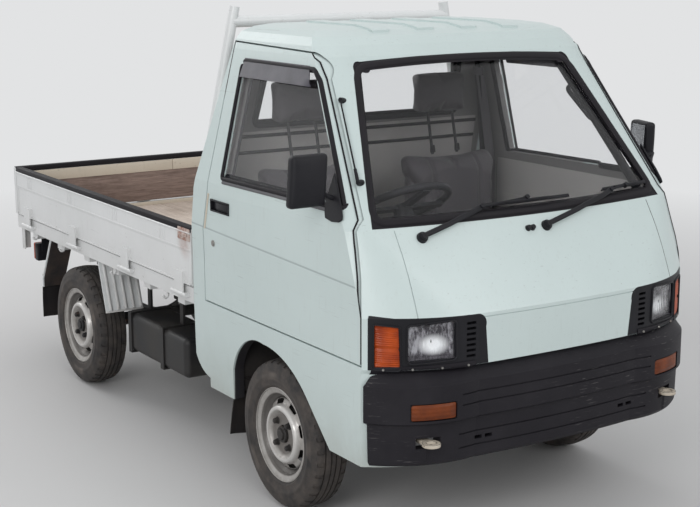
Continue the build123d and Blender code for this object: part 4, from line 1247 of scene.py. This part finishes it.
def wiper(bm, pivot, elbow, clip, blade_from, blade_to):
    stud(bm, pivot, -0.004, 0.012, 0.02, 0.017, 24)
    stud(bm, pivot, 0.012, 0.024, 0.014, 0.01, 20)
    blade = (Vector(blade_from), Vector(blade_to))
    yoke = [blade[0].lerp(blade[1], share) for share in (0.25, 0.75)]
    for line, width, height, lift, step in (
            ((pivot, elbow), 0.018, 0.008, 0.021, 0.05), ((elbow, clip), 0.008, 0.006, 0.022, 0.05),
            (blade, 0.013, 0.006, 0.016, 0.06), (blade, 0.006, 0.014, 0.009, 0.06),
            (yoke, 0.01, 0.009, 0.021, 0.06)):
        strip_on(bm, line, from_front, width, height, lift, closed=False, step=step)
    for joint in (elbow, clip):
        stud(bm, joint, 0.014, 0.03, 0.01, 0.008, 16)


def wiper_set(bm):
    wiper(bm, (-0.455, 1.051), (-0.199, 1.113), (-0.005, 1.125), (-0.19, 1.118), (0.182, 1.118))
    wiper(bm, (0.041, 1.044), (0.381, 1.116), (0.46, 1.124), (0.35, 1.122), (0.57, 1.127))
    for nozzle_x in (-0.038, -0.02):
        stud(bm, (nozzle_x, 1.043), 0, 0.012, 0.011, 0.008, 16)


single("wiper_set", wiper_set, "trim_black", smooth_under=40, stands_for=("wipers",))

# %% [markdown]
# The antenna is a rod beside the driver's screen pillar, with a rubber foot at each end. It is drawn as
# if pushed down into itself.

# %% Antenna
def antenna(bm):
    low, high = Vector((-0.613, -1.339, 1.226)), Vector((-0.565, -1.159, 1.473))
    bar(bm, low.lerp(high, -0.02), high, 0.0032, 0.0026, 12)
    bar(bm, low, low.lerp(high, 0.16), 0.0062, 0.0052, 14)
    bar(bm, high, high.lerp(low, -0.02), 0.0055, 0.004, 14)
    for end, toward in ((low, (0.023, 0.017, -0.007)), (high, (0.025, 0.019, -0.01))):
        bar(bm, end, end + Vector(toward), 0.0075, 0.014, 18)


single("antenna_mast", antenna, "trim_black", smooth_under=50, stands_for=("antenna",))

# %% [markdown]
# ## Door furniture
#
# The handle is a black tray let into the door with a flap to pull. Below it sits a small lock barrel.
# A beige guard strip protects the door's rear edge, and a black strip sunk in the seam round its front is
# painted shade in the gap.

# %% Handles, locks and edge strips
def handle(bm):
    slab(bm, (-0.687, -0.612, 1.018), (-0.68, -0.476, 1.056), 0.001)
    for y_low, z_low, y_high, z_high in ((-0.615, 1.0145, -0.473, 1.0205), (-0.615, 1.0535, -0.473, 1.0595),
                                         (-0.615, 1.0145, -0.609, 1.0595), (-0.479, 1.0145, -0.473, 1.0595)):
        slab(bm, (-0.6995, y_low, z_low), (-0.686, y_high, z_high), 0.0018)
    slab(bm, (-0.6985, -0.606, 1.028), (-0.6915, -0.515, 1.052), 0.003)
    bar(bm, (-0.69, -0.6, 1.024), (-0.69, -0.515, 1.024), 0.0035, sides=12)


def door_lock(bm):
    spot, normal = from_side(-0.487, 0.894)
    bar(bm, spot - normal * 0.002, spot + normal * 0.003, 0.0125, 0.0115, 28)
    bar(bm, spot + normal * 0.003, spot + normal * 0.0045, 0.0085, 0.008, 24)


def edge_guard(bm):
    strip_on(bm, [(-0.4234, 0.942), (-0.4544, 1.076)], from_side, 0.01, 0.006, 0.001, closed=False)


# A black strip sunk in the door's front seam: painted shadow of the gap.
def seam_shade_strip(bm):
    def behind_seam(y, z):
        spot, normal = from_side(y + 0.006, z)
        return spot + Vector((0, -0.004, 0)), normal
    line = [(-1.481, 0.67), (-1.481, 0.82), (-1.457, 0.936), (-1.399, 1.117), (-1.089, 1.536),
            (-1.045, 1.588), (-1.003, 1.614)]
    strip_on(bm, line, behind_seam, 0.006, 0.003, -0.0005, closed=False)


both_sides("door_handle", handle, "trim_black", DOORS, 40)
both_sides("door_lock", door_lock, "zinc", DOORS, 40)
both_sides("edge_guard", edge_guard, "cream_paint", DOORS, 60)
both_sides("seam_shade_strip", seam_shade_strip, "seal_rubber", DOORS, 60)

# %% [markdown]
# ## The load bed
#
# Every gate has a black rubber cap along its top edge, with the steel's white lip showing outside it.
# The outer sheet is stiffened by groups of three short upright ribs.

# %% Gate caps and ribs
GATES = ("gate_right", "gate_left")
RIB_YS = (1.426, 0.926, 0.426, -0.034)
GATE_FRONT_Y, GATE_BACK_Y = -0.288, 1.594
LINING_FRONT_Y, LINING_BACK_Y = -0.235, 1.586
BAND_LOW_Z, BAND_HIGH_Z = 0.842, 0.895
BOARD_LOW_Z, BOARD_HIGH_Z = 0.693, 0.8415


def gate_ribs(bm):
    for middle in RIB_YS:
        for y in (middle - 0.019, middle, middle + 0.019):
            slab(bm, (-0.6925, y - 0.004, 0.836), (-0.6885, y + 0.004, 0.886), 0.002)
    slab(bm, (-0.6915, GATE_FRONT_Y, 0.827), (-0.688, GATE_BACK_Y, 0.833), 0.0016)
    for y_low, y_high, z_high in ((GATE_FRONT_Y, GATE_BACK_Y, 0.6985), (-0.289, -0.278, 0.894),
                                  (1.584, 1.595, 0.894)):
        slab(bm, (-0.6905, y_low, 0.69), (-0.686, y_high, z_high), 0.002)


def gate_lip(bm):
    bar(bm, (-0.6928, GATE_FRONT_Y, 0.8965), (-0.6928, GATE_BACK_Y, 0.8965), 0.0038, sides=12)


gate_cap = slabs(((-0.6918, -0.2895, 0.899), (-0.658, 1.5955, 0.9206), 0.005, 3))
rear_cap = slabs(((-0.6895, 1.6, 0.895), (0.6895, 1.632, 0.9206), 0.005, 3))
both_sides("gate_cap", gate_cap, "seal_rubber", GATES)
both_sides("gate_ribs", gate_ribs, "white_paint", GATES)
both_sides("gate_lip", gate_lip, "white_paint", GATES)
single("gate_cap_rear", rear_cap, "seal_rubber", "gate_rear")

# %% [markdown]
# The gates' inner side is lined: a cream band on top and a weathered board below it. Flat things with
# soft edges need no more than the corners of their slabs.

# %% Linings of the gates
side_band = slabs(((-0.6605, LINING_FRONT_Y, BAND_LOW_Z), (-0.653, LINING_BACK_Y, BAND_HIGH_Z), 0.0015))
side_board = slabs(((-0.6605, LINING_FRONT_Y, BOARD_LOW_Z), (-0.6565, 0.672, BOARD_HIGH_Z), 0.0012),
                   ((-0.6605, 0.6745, BOARD_LOW_Z), (-0.6565, LINING_BACK_Y, BOARD_HIGH_Z), 0.0012))
rear_band = slabs(((-0.651, 1.594, BAND_LOW_Z), (0.148, 1.6025, BAND_HIGH_Z), 0.0015),
                  ((0.15, 1.594, BAND_LOW_Z), (0.651, 1.6025, BAND_HIGH_Z), 0.0015))
rear_board = slabs(((-0.651, 1.5965, BOARD_LOW_Z), (0.651, 1.6025, BOARD_HIGH_Z), 0.0012))
bed_sill = slabs(((-0.636, 1.5885, 0.666), (0.636, 1.599, 0.6855), 0.002))
both_sides("gate_band", side_band, "cream_paint", GATES)
both_sides("gate_board", side_board, "gate_board", GATES)
single("gate_band_rear", rear_band, "cream_paint", "gate_rear")
single("gate_board_rear", rear_board, "gate_board", "gate_rear")
single("bed_sill", bed_sill, "cream_paint")

# %% [markdown]
# ## Latches, hinges and hooks
#
# The gates' ironwork is small but it shows: a rusty latch plate at each front end, a painted sleeve on
# each hinge with the ends of its pin, and rope hooks under the rail.

# %% Ironwork of the bed
HINGE_YS = (-0.195, 0.318, 0.885, 1.453)
HINGE_X = 0.699
HINGE_Z = 0.65


def latch(bm):
    slab(bm, (-0.6945, -0.285, 0.864), (-0.6895, -0.185, 0.912), 0.0015)
    slab(bm, (-0.701, -0.265, 0.88), (-0.694, -0.205, 0.894), 0.003, 3)
    bar(bm, (-0.698, -0.26, 0.887), (-0.703, -0.26, 0.887), 0.0085, 0.007, 16)
    for y in (-0.278, -0.192):
        for z in (0.871, 0.905):
            bar(bm, (-0.694, y, z), (-0.6965, y, z), 0.0042, 0.003, 10)


def on_hinges(bm, start, end, radius, sides):
    """A round bar on each hinge's line, from one distance past its middle to another."""
    for y in HINGE_YS:
        bar(bm, (-HINGE_X, y + start, HINGE_Z), (-HINGE_X, y + end, HINGE_Z), radius, sides=sides)


def sleeves(bm):
    on_hinges(bm, -0.0355, 0.0355, 0.0084, 24)


def pin_ends(bm):
    on_hinges(bm, -0.0375, -0.0645, 0.0062, 20)
    on_hinges(bm, 0.0375, 0.0645, 0.0062, 20)


def rope_hooks(bm):
    for y in (-0.034, 0.48, 1.06, 1.4):
        pipe(bm, [(-0.67, y, 0.624), (-0.67, y, 0.598), (-0.685, y, 0.592), (-0.693, y, 0.606)],
             0.0052, 10, 0.012)
        slab(bm, (-0.68, y - 0.018, 0.6185), (-0.66, y + 0.018, 0.6235), 0.001)


both_sides("latch", latch, "latch_steel", GATES, 30)
both_sides("hinge_sleeves", sleeves, "white_paint", GATES, 30)
both_sides("hinge_pins", pin_ends, "white_paint", smooth_under=30)
both_sides("rope_hooks", rope_hooks, "white_paint", smooth_under=50)

# %% [markdown]
# ## Rear corners and underside trim
#
# In front of each rear wheel hangs a white mudguard with pressed ribs, and a rubber flap hangs behind
# every wheel. A bracket hangs from the bed's rear corner, and the tail lamps have a black case with a
# red and an amber lens. The number plate's holder at the back carries a blank plate.

# %% Mudguards, brackets and tail lamps
def guard_ribs(bm):
    for n in range(5):
        x = -0.655 + 0.036 * n
        low, high = Vector((x, 0.5775, 0.41)), Vector((x, 0.6495, 0.616))
        places = along_line([low, low.lerp(high, 0.5), high], lambda n, run: Vector((1, 0, 0)))
        swept(bm, places, 0.014, 0.01, closed=False, sides=12)
    slab(bm, (-0.6765, 0.579, 0.398), (-0.499, 0.5905, 0.406), 0.002)


def corner_bracket(bm):
    slab(bm, (-0.672, 1.6, 0.515), (-0.631, 1.606, 0.623), 0.002)
    slab(bm, (-0.672, 1.57, 0.515), (-0.668, 1.606, 0.623), 0.0015)
    bar(bm, (-0.6515, 1.6055, 0.54), (-0.6515, 1.6095, 0.54), 0.009, 0.008, 16)


lamp_case = slabs(((-0.621, 1.539, 0.454), (-0.469, 1.58, 0.541), 0.006, 3),
                  ((-0.568, 1.53, 0.53), (-0.56, 1.572, 0.623), 0.001),
                  ((-0.6, 1.53, 0.5), (-0.5, 1.54, 0.623), 0.001))
red_pane = slabs(((-0.57, 1.579, 0.456), (-0.471, 1.6005, 0.539), 0.007, 4))
amber_pane = slabs(((-0.6195, 1.579, 0.456), (-0.5715, 1.6005, 0.539), 0.007, 4))


def flap(bm, corners):
    """A rubber sheet between four corners, bowed a little."""
    for vert, u, v, spot in grid_between(bm, corners, 12, 14):
        vert.co = spot
        vert.co.y += 0.006 * math.sin(math.pi * v) + 0.002 * math.sin(9 * u)


def mud_flaps(bm):
    flap(bm, [(-0.672, -0.548, 0.17), (-0.562, -0.553, 0.162), (-0.562, -0.606, 0.4),
              (-0.668, -0.604, 0.402)])
    flap(bm, [(-0.6715, 1.362, 0.217), (-0.56, 1.362, 0.217), (-0.56, 1.347, 0.43), (-0.6715, 1.347, 0.43)])


def blank_plate(bm):
    slab(bm, (-0.165, 1.6, 0.45), (0.165, 1.603, 0.615), 0.004, 3)
    slab(bm, (-0.05, 1.585, 0.59), (0.05, 1.6, 0.63), 0.003)
    for x in (-0.105, 0.105):
        bar(bm, (x, 1.602, 0.6), (x, 1.605, 0.6), 0.006, 0.0045, 16)


flaps = both_sides("rubber_flaps", mud_flaps, "flap_rubber", smooth_under=60, sheet=(0.005, 0))
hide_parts("mud_flaps")
both_sides("mudguard_ribs", guard_ribs, "white_paint", smooth_under=50)
both_sides("corner_bracket", corner_bracket, "white_paint")
cases = both_sides("lamp_case", lamp_case, "trim_black")
both_sides("tail_red", red_pane, "red_lens")
both_sides("tail_amber", amber_pane, "amber_lens")
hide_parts("tail_lamps")
single("blank_plate", blank_plate, "white_paint")

# %% [markdown]
# ## Towing eyes
#
# A cream painted ring sticks out of the bumper on each side. Its section is a rounded square, turned
# once about an upright axis.

# %% Towing eyes
TOW_EYE = Vector((-0.517, -1.619, 0.412))
RING_RADIUS = 0.0235
HALF_WIDE, HALF_HIGH = 0.0069, 0.0064


def tow_eye(bm):
    section = rounded([(-HALF_WIDE, -HALF_HIGH), (HALF_WIDE, -HALF_HIGH), (HALF_WIDE, HALF_HIGH),
                       (-HALF_WIDE, HALF_HIGH)], 0.0026, 3)
    verts = [bm.verts.new((RING_RADIUS + out, 0, high)) for out, high in section]
    edges = [bm.edges.new(pair) for pair in zip(verts, verts[1:] + verts[:1])]
    bmesh.ops.spin(bm, geom=verts + edges, cent=(0, 0, 0), axis=(0, 0, 1), angle=2 * math.pi, steps=40,
                   use_merge=True)
    bmesh.ops.translate(bm, vec=TOW_EYE, verts=bm.verts)
    slab(bm, TOW_EYE + Vector((-0.0178, 0.0245, -0.0068)), TOW_EYE + Vector((0.0178, 0.07, 0.0068)), 0.003)


both_sides("tow_eye", tow_eye, "cream_paint", smooth_under=50)

# %% [markdown]
# ## Seats
#
# Each seat is three pads: a cushion, a back and a head rest on two posts. A pad is foam in a tight
# cover. The cover pulls the edges in and lets the middle swell, and that's what a cloth simulation with
# a little pressure gives. The start is a slightly smaller bevelled form, remeshed into an even net.

# %% Swelling a pad
CLOTH_FRAMES = 20


def swollen(bm, reach, voxel=0.006, floor_z=None):
    """Remeshes a closed form, blows it up as cloth and returns the result as a bmesh."""
    pad = added("pad_form", mesh_of("pad_form", bm))
    finer(pad, "REMESH", mode="VOXEL", voxel_size=voxel)
    fine = bpy.data.meshes.new_from_object(pad.evaluated_get(bpy.context.evaluated_depsgraph_get()))
    pad.modifiers.clear()
    pad.data = fine
    start = [vert.co.copy() for vert in fine.vertices]
    moved = start
    cloth = pad.modifiers.new("cloth", "CLOTH")
    cloth.settings.quality = 4
    cloth.settings.use_pressure = True
    cloth.settings.uniform_pressure_force = 4
    cloth.settings.effector_weights.gravity = 0
    cloth.point_cache.frame_start = 1
    cloth.point_cache.frame_end = CLOTH_FRAMES
    for step in range(1, CLOTH_FRAMES + 1):
        scene.frame_set(step)
    blown = pad.evaluated_get(bpy.context.evaluated_depsgraph_get()).to_mesh()
    moved = [vert.co.copy() for vert in blown.vertices]
    scene.frame_set(1)
    pad.modifiers.clear()
    result = bmesh.new()
    result.from_mesh(fine)
    bpy.data.objects.remove(pad)
    for vert, before, after in zip(result.verts, start, moved):
        step = after - before
        if step.length > reach:
            step *= reach / step.length
        vert.co = before + step
        if floor_z is not None:
            vert.co.z = max(vert.co.z, floor_z)
    return result


def stitched(bm, seams, depth, half_width, across, only):
    """Presses straight seams into a pad. across names the axis over them, and only picks the surface."""
    for vert in bm.verts:
        place = getattr(vert.co, across)
        for seam in seams:
            off = abs(place - seam)
            if off < half_width and only(vert):
                press = depth * (0.5 + 0.5 * math.cos(math.pi * off / half_width))
                vert.co -= vert.normal * press


# %% [markdown]
# The pads' places come from the CAD seat. Both seats are alike, so each pad is made once and its copy
# is moved across the cab.

# %% Cushions, backs and head rests
SEAT_XS = {"driver": -0.32, "passenger": 0.32}
PAD_REACH = 0.024
HEAD_REST_REACH = 0.022
SEAT_BASE_Z = 0.6115


def pad_form(corners, width, edge):
    """A bevelled block from a side outline of (along, up) points."""
    bm = bmesh.new()
    face = bm.faces.new([bm.verts.new((-width / 2, y, z)) for y, z in corners])
    pushed = bmesh.ops.extrude_face_region(bm, geom=[face])["geom"]
    bmesh.ops.translate(bm, vec=(width, 0, 0), verts=[g for g in pushed if isinstance(g, bmesh.types.BMVert)])
    bmesh.ops.recalc_face_normals(bm, faces=bm.faces)
    bevelled(bm, bm.edges[:], edge, 4)
    return bm


CUSHION = [(-1.07, 0.622), (-0.652, 0.618), (-0.652, 0.706), (-1.055, 0.728), (-1.076, 0.715)]
BACK = [(-0.63, 0.72), (-0.54, 0.72), (-0.512, 1.165), (-0.56, 1.178), (-0.6, 1.14)]
HEAD_REST = [(-0.53, 1.325), (-0.462, 1.325), (-0.458, 1.472), (-0.502, 1.478), (-0.526, 1.462)]
cushion_bm = swollen(pad_form(CUSHION, 0.452, 0.03), PAD_REACH, floor_z=SEAT_BASE_Z)
cushion_bm.normal_update()
stitched(cushion_bm, (-0.118, 0.118), 0.009, 0.014, "x", lambda vert: vert.normal.z > 0.2)
back_bm = swollen(pad_form(BACK, 0.43, 0.028), PAD_REACH)
back_bm.normal_update()
stitched(back_bm, (-0.112, 0.112), 0.008, 0.014, "x", lambda vert: vert.normal.y < -0.2)
rest_bm = swollen(pad_form(HEAD_REST, 0.226, 0.026), HEAD_REST_REACH, voxel=0.005)

for seat, seat_x in SEAT_XS.items():
    for label, pad_bm in (("cushion", cushion_bm), ("back", back_bm), ("head_rest", rest_bm)):
        own_bm = pad_bm.copy()
        bmesh.ops.translate(own_bm, vec=(seat_x, 0, 0), verts=own_bm.verts)
        stands = ("seat_" + seat,) if label == "cushion" else ()
        pad_piece = piece("seat_" + label + "_" + seat, own_bm, "seat_vinyl", "root", 180, stands)
    frame_bm = bmesh.new()
    for post_x in (seat_x - 0.06, seat_x + 0.06):
        bar(frame_bm, (post_x, -0.54, 1.16), (post_x, -0.498, 1.345), 0.0058, sides=14)
        bar(frame_bm, (post_x, -0.5415, 1.168), (post_x, -0.5385, 1.196), 0.011, 0.0095, 16)
    for x in (seat_x - 0.225, seat_x + 0.2):
        slab(frame_bm, (x, -1.04, 0.6105), (x + 0.025, -0.62, 0.63), 0.002)
    for x in (seat_x - 0.21, seat_x + 0.185):
        slab(frame_bm, (x, -0.6, 0.612), (x + 0.025, -0.545, 0.76), 0.004)
    piece("seat_frame_" + seat, frame_bm, "trim_black", smooth_under=35)
for pad_bm in (cushion_bm, back_bm, rest_bm):
    pad_bm.free()

# %% [markdown]
# ## Inside the cab
#
# Through the glass one sees a grey lining on the rear wall, dark trim on the pillars, a lined door and
# a headlining. They hide the painted steel, as in the real cab. Each is a thin grid or a flat sweep a
# few millimetres inside the shell.

# %% Linings of the cab
def from_below(x, y):
    """A point on the underside of the roof and its normal."""
    return met_by((x, y, 1.45), (0, 0, 1))


def from_within(x, z):
    """A point on the rear wall's inner side and its normal."""
    return met_by((x, -0.8, z), (0, 1, 0))


def from_inside(y, z):
    """A point on the inner side of the driver's flank and its normal."""
    return met_by((-0.3, y, z), (-1, 0, 0))


def headlining(bm):
    corners = [(-0.4, -1.02), (0.4, -1.02), (0.455, -0.5), (-0.455, -0.5)]
    laid_on(bm, corners, 20, 16, from_below, 0.006)


def rear_lining(bm):
    corners = [(-0.6, 0.64), (0.6, 0.64), (0.575, 1.285), (-0.575, 1.285)]
    laid_on(bm, corners, 12, 16, from_within, 0.005)


def rear_wall_beads(bm):
    for z in (1.205, 1.268):
        strip_on(bm, [(-0.575, z), (0.575, z)], from_within, 0.014, 0.01, 0.007, closed=False, step=0.2)
    window = [(-0.474, 1.306), (0.474, 1.306), (0.443, 1.559), (-0.443, 1.559)]
    strip_on(bm, window, from_within, 0.022, 0.012, 0.004, corner=0.03)


def pillar_trims(bm):
    rear = [(-0.64, -0.372, 0.62), (-0.642, -0.374, 0.93), (-0.634, -0.392, 1.085),
            (-0.578, -0.432, 1.33), (-0.527, -0.462, 1.545)]
    front = [(-0.606, -1.372, 1.062), (-0.56, -1.255, 1.235), (-0.495, -1.105, 1.455),
             (-0.456, -1.022, 1.578)]
    inward = Vector((1, 0.25, 0.2))
    for line, width, height in ((rear, 0.07, 0.014), (front, 0.046, 0.016)):
        places = along_line([Vector(spot) for spot in line], lambda n, run: inward.cross(run))
        swept(bm, places, width, height, closed=False, sides=14)


def door_lining(bm):
    slab(bm, (-0.648, -1.345, 0.7), (-0.643, -0.47, 1.112), 0.002)
    slab(bm, (-0.643, -1.29, 0.73), (-0.639, -0.52, 0.97), 0.003)
    slab(bm, (-0.643, -0.96, 0.935), (-0.596, -0.69, 0.975), 0.012, 4)
    bar(bm, (-0.643, -1.13, 0.9), (-0.625, -1.13, 0.9), 0.02, 0.018, 24)
    bar(bm, (-0.628, -1.13, 0.9), (-0.623, -1.04, 0.87), 0.007, 0.006, 12)
    bar(bm, (-0.623, -1.04, 0.87), (-0.601, -1.04, 0.87), 0.011, 0.01, 16)


def window_trim(bm):
    line = [(-1.35, 1.154), (-1.068, 1.529), (-1.034, 1.556), (-0.552, 1.56), (-0.54, 1.548), (-0.544, 1.146)]
    strip_on(bm, line, from_inside, 0.026, 0.012, 0.0, corner=0.01)


single("headlining", headlining, "grey_trim", smooth_under=60, sheet=(0.003, 0))
single("rear_lining", rear_lining, "grey_trim", smooth_under=60, sheet=(0.003, 0))
single("rear_wall_beads", rear_wall_beads, "trim_black", smooth_under=60)
both_sides("pillar_trims", pillar_trims, "trim_black", smooth_under=60)
both_sides("door_lining", door_lining, "grey_trim", DOORS)
both_sides("window_trim", window_trim, "trim_black", DOORS, 60)

# %% [markdown]
# The dashboard's CAD block keeps its form. What makes it a dashboard is what stands on it: a hood over
# the dials, air vents, a glove box lid and a middle panel with its knobs. The passenger has a grip on
# the pillar, and each seat a belt that hangs from the rear pillar.

# %% Dashboard, grip and belts
VENT_XS = (-0.5, -0.1, 0.06, 0.49)


def dash_fittings(bm):
    slab(bm, (-0.47, -1.415, 1.045), (-0.17, -1.345, 1.1), 0.014, 4)
    slab(bm, (0.12, -1.352, 0.855), (0.48, -1.337, 0.955), 0.006, 3)
    slab(bm, (-0.11, -1.356, 0.815), (0.08, -1.338, 0.965), 0.006, 3)
    for x in VENT_XS:
        slab(bm, (x - 0.038, -1.352, 0.985), (x + 0.038, -1.335, 1.025), 0.005, 3)


def dash_details(bm):
    for x in VENT_XS:
        for z in (0.993, 1.001, 1.009, 1.017):
            slab(bm, (x - 0.032, -1.336, z - 0.0018), (x + 0.032, -1.333, z + 0.0018), 0.0005)
    slab(bm, (-0.455, -1.349, 1.056), (-0.185, -1.345, 1.096), 0.003)
    for x in (-0.385, -0.255):
        bar(bm, (x, -1.345, 1.076), (x, -1.341, 1.076), 0.0175, 0.0165, 28)
    for x in (-0.075, -0.015, 0.045):
        bar(bm, (x, -1.338, 0.85), (x, -1.324, 0.85), 0.013, 0.011, 20)
    slab(bm, (-0.09, -1.3385, 0.885), (0.06, -1.335, 0.94), 0.002)


def assist_grip(bm):
    line = [(0.586, -0.985, 1.452), (0.556, -0.99, 1.438), (0.576, -1.112, 1.33), (0.612, -1.118, 1.334)]
    pipe(bm, line, 0.0095, 12, 0.025)


def belt(bm):
    line = [(-0.535, -0.48, 1.47), (-0.575, -0.47, 1.3), (-0.618, -0.46, 1.08),
            (-0.623, -0.455, 0.8), (-0.625, -0.45, 0.64)]
    facing = Vector((0.2, 1, 0))
    places = along_line([Vector(spot) for spot in line], lambda n, run: facing.cross(run).cross(run))
    swept(bm, places, 0.046, 0.003, closed=False, sides=16)
    slab(bm, (-0.542, -0.5, 1.455), (-0.528, -0.44, 1.49), 0.005, 3)
    slab(bm, (-0.633, -0.48, 0.615), (-0.617, -0.425, 0.68), 0.004, 2)


single("dash_fittings", dash_fittings, "dash_plastic", smooth_under=40)
single("dash_details", dash_details, "trim_black", smooth_under=40)
single("assist_grip", assist_grip, "trim_black", smooth_under=60)
both_sides("belt", belt, "seat_cloth", smooth_under=60)

# %% [markdown]
# ## Studio
#
# A pale floor, and soft light from four large panels and a pale sky. The panels are big, as the ceiling
# lights of a hall are, so the shadows under the truck have soft edges. What the camera sees past the
# floor is a plain pale background, also in mirrors and through glass, and it lights nothing else.

# %% Floor, lamps and sky
BACKDROP = (226, 227, 228)


def looked_at(signal):
    """1 for a ray from the camera, also when it came by way of a mirror or through glass."""
    camera_ray, *others = (
        signal.node("LightPath", output=f"Is {kind} Ray") for kind in ("Camera", "Glossy", "Transmission"))
    for other in others:
        camera_ray = camera_ray.at_least(other)
    return camera_ray


floor_stuff = Finish("studio_floor")
floor_paint = floor_stuff.surface(Base_Color=(206, 205, 204), Roughness=0.7)
floor_glow = floor_stuff.node("Emission", {}, {"Color": BACKDROP, "Strength": 1.0})
far_share = floor_stuff.x.hypot(floor_stuff.y).rising(2.3, 6.5) * looked_at(floor_stuff)
floor_stuff.show(floor_stuff.node("MixShader", {}, {0: far_share, 1: floor_paint, 2: floor_glow}))
floor_bm = bmesh.new()
bmesh.ops.create_grid(floor_bm, x_segments=2, y_segments=2, size=150)
floor = added("floor", mesh_of("floor", floor_bm))
floor.data.materials.append(finishes["studio_floor"])

PANELS = [
    ("overhead", (0.0, 0.8, 5.5), (0, 0.4, 0.5), (4.0, 6.0), 55),
    ("front_right", (-5.5, -5.0, 3.6), (0, -0.6, 0.8), (3.5, 3.0), 165),
    ("front_left", (2.5, -6.5, 4.2), (0, -1.2, 0.9), (3.0, 3.0), 85),
    ("behind", (-2.0, 6.0, 4.0), (0, 0.5, 0.6), (4.0, 3.0), 100),
]
for panel_name, spot, target, size, power in PANELS:
    panel = bpy.data.lights.new(panel_name, "AREA")
    panel.shape = "RECTANGLE"
    panel.size, panel.size_y = size
    panel.energy = power
    holder = added(panel_name, panel)
    holder.location = spot
    holder.rotation_euler = (Vector(target) - Vector(spot)).to_track_quat("-Z", "Y").to_euler()

sky = bpy.data.worlds.new("sky")
sky.use_nodes = True
sky.node_tree.nodes.clear()
sky_signal = Signal(sky.node_tree)
ambient = sky_signal.node("Background", {}, {"Color": (0.95, 0.97, 1.0, 1.0), "Strength": 0.55})
backdrop = sky_signal.node("Background", {}, {"Color": BACKDROP, "Strength": 1.0})
mixed = sky_signal.node("MixShader", {}, {0: looked_at(sky_signal), 1: ambient, 2: backdrop})
sky_signal.node("OutputWorld", {}, {"Surface": mixed})
scene.world = sky
scene.view_settings.view_transform = "Standard"
print("studio has", len(PANELS), "panels")
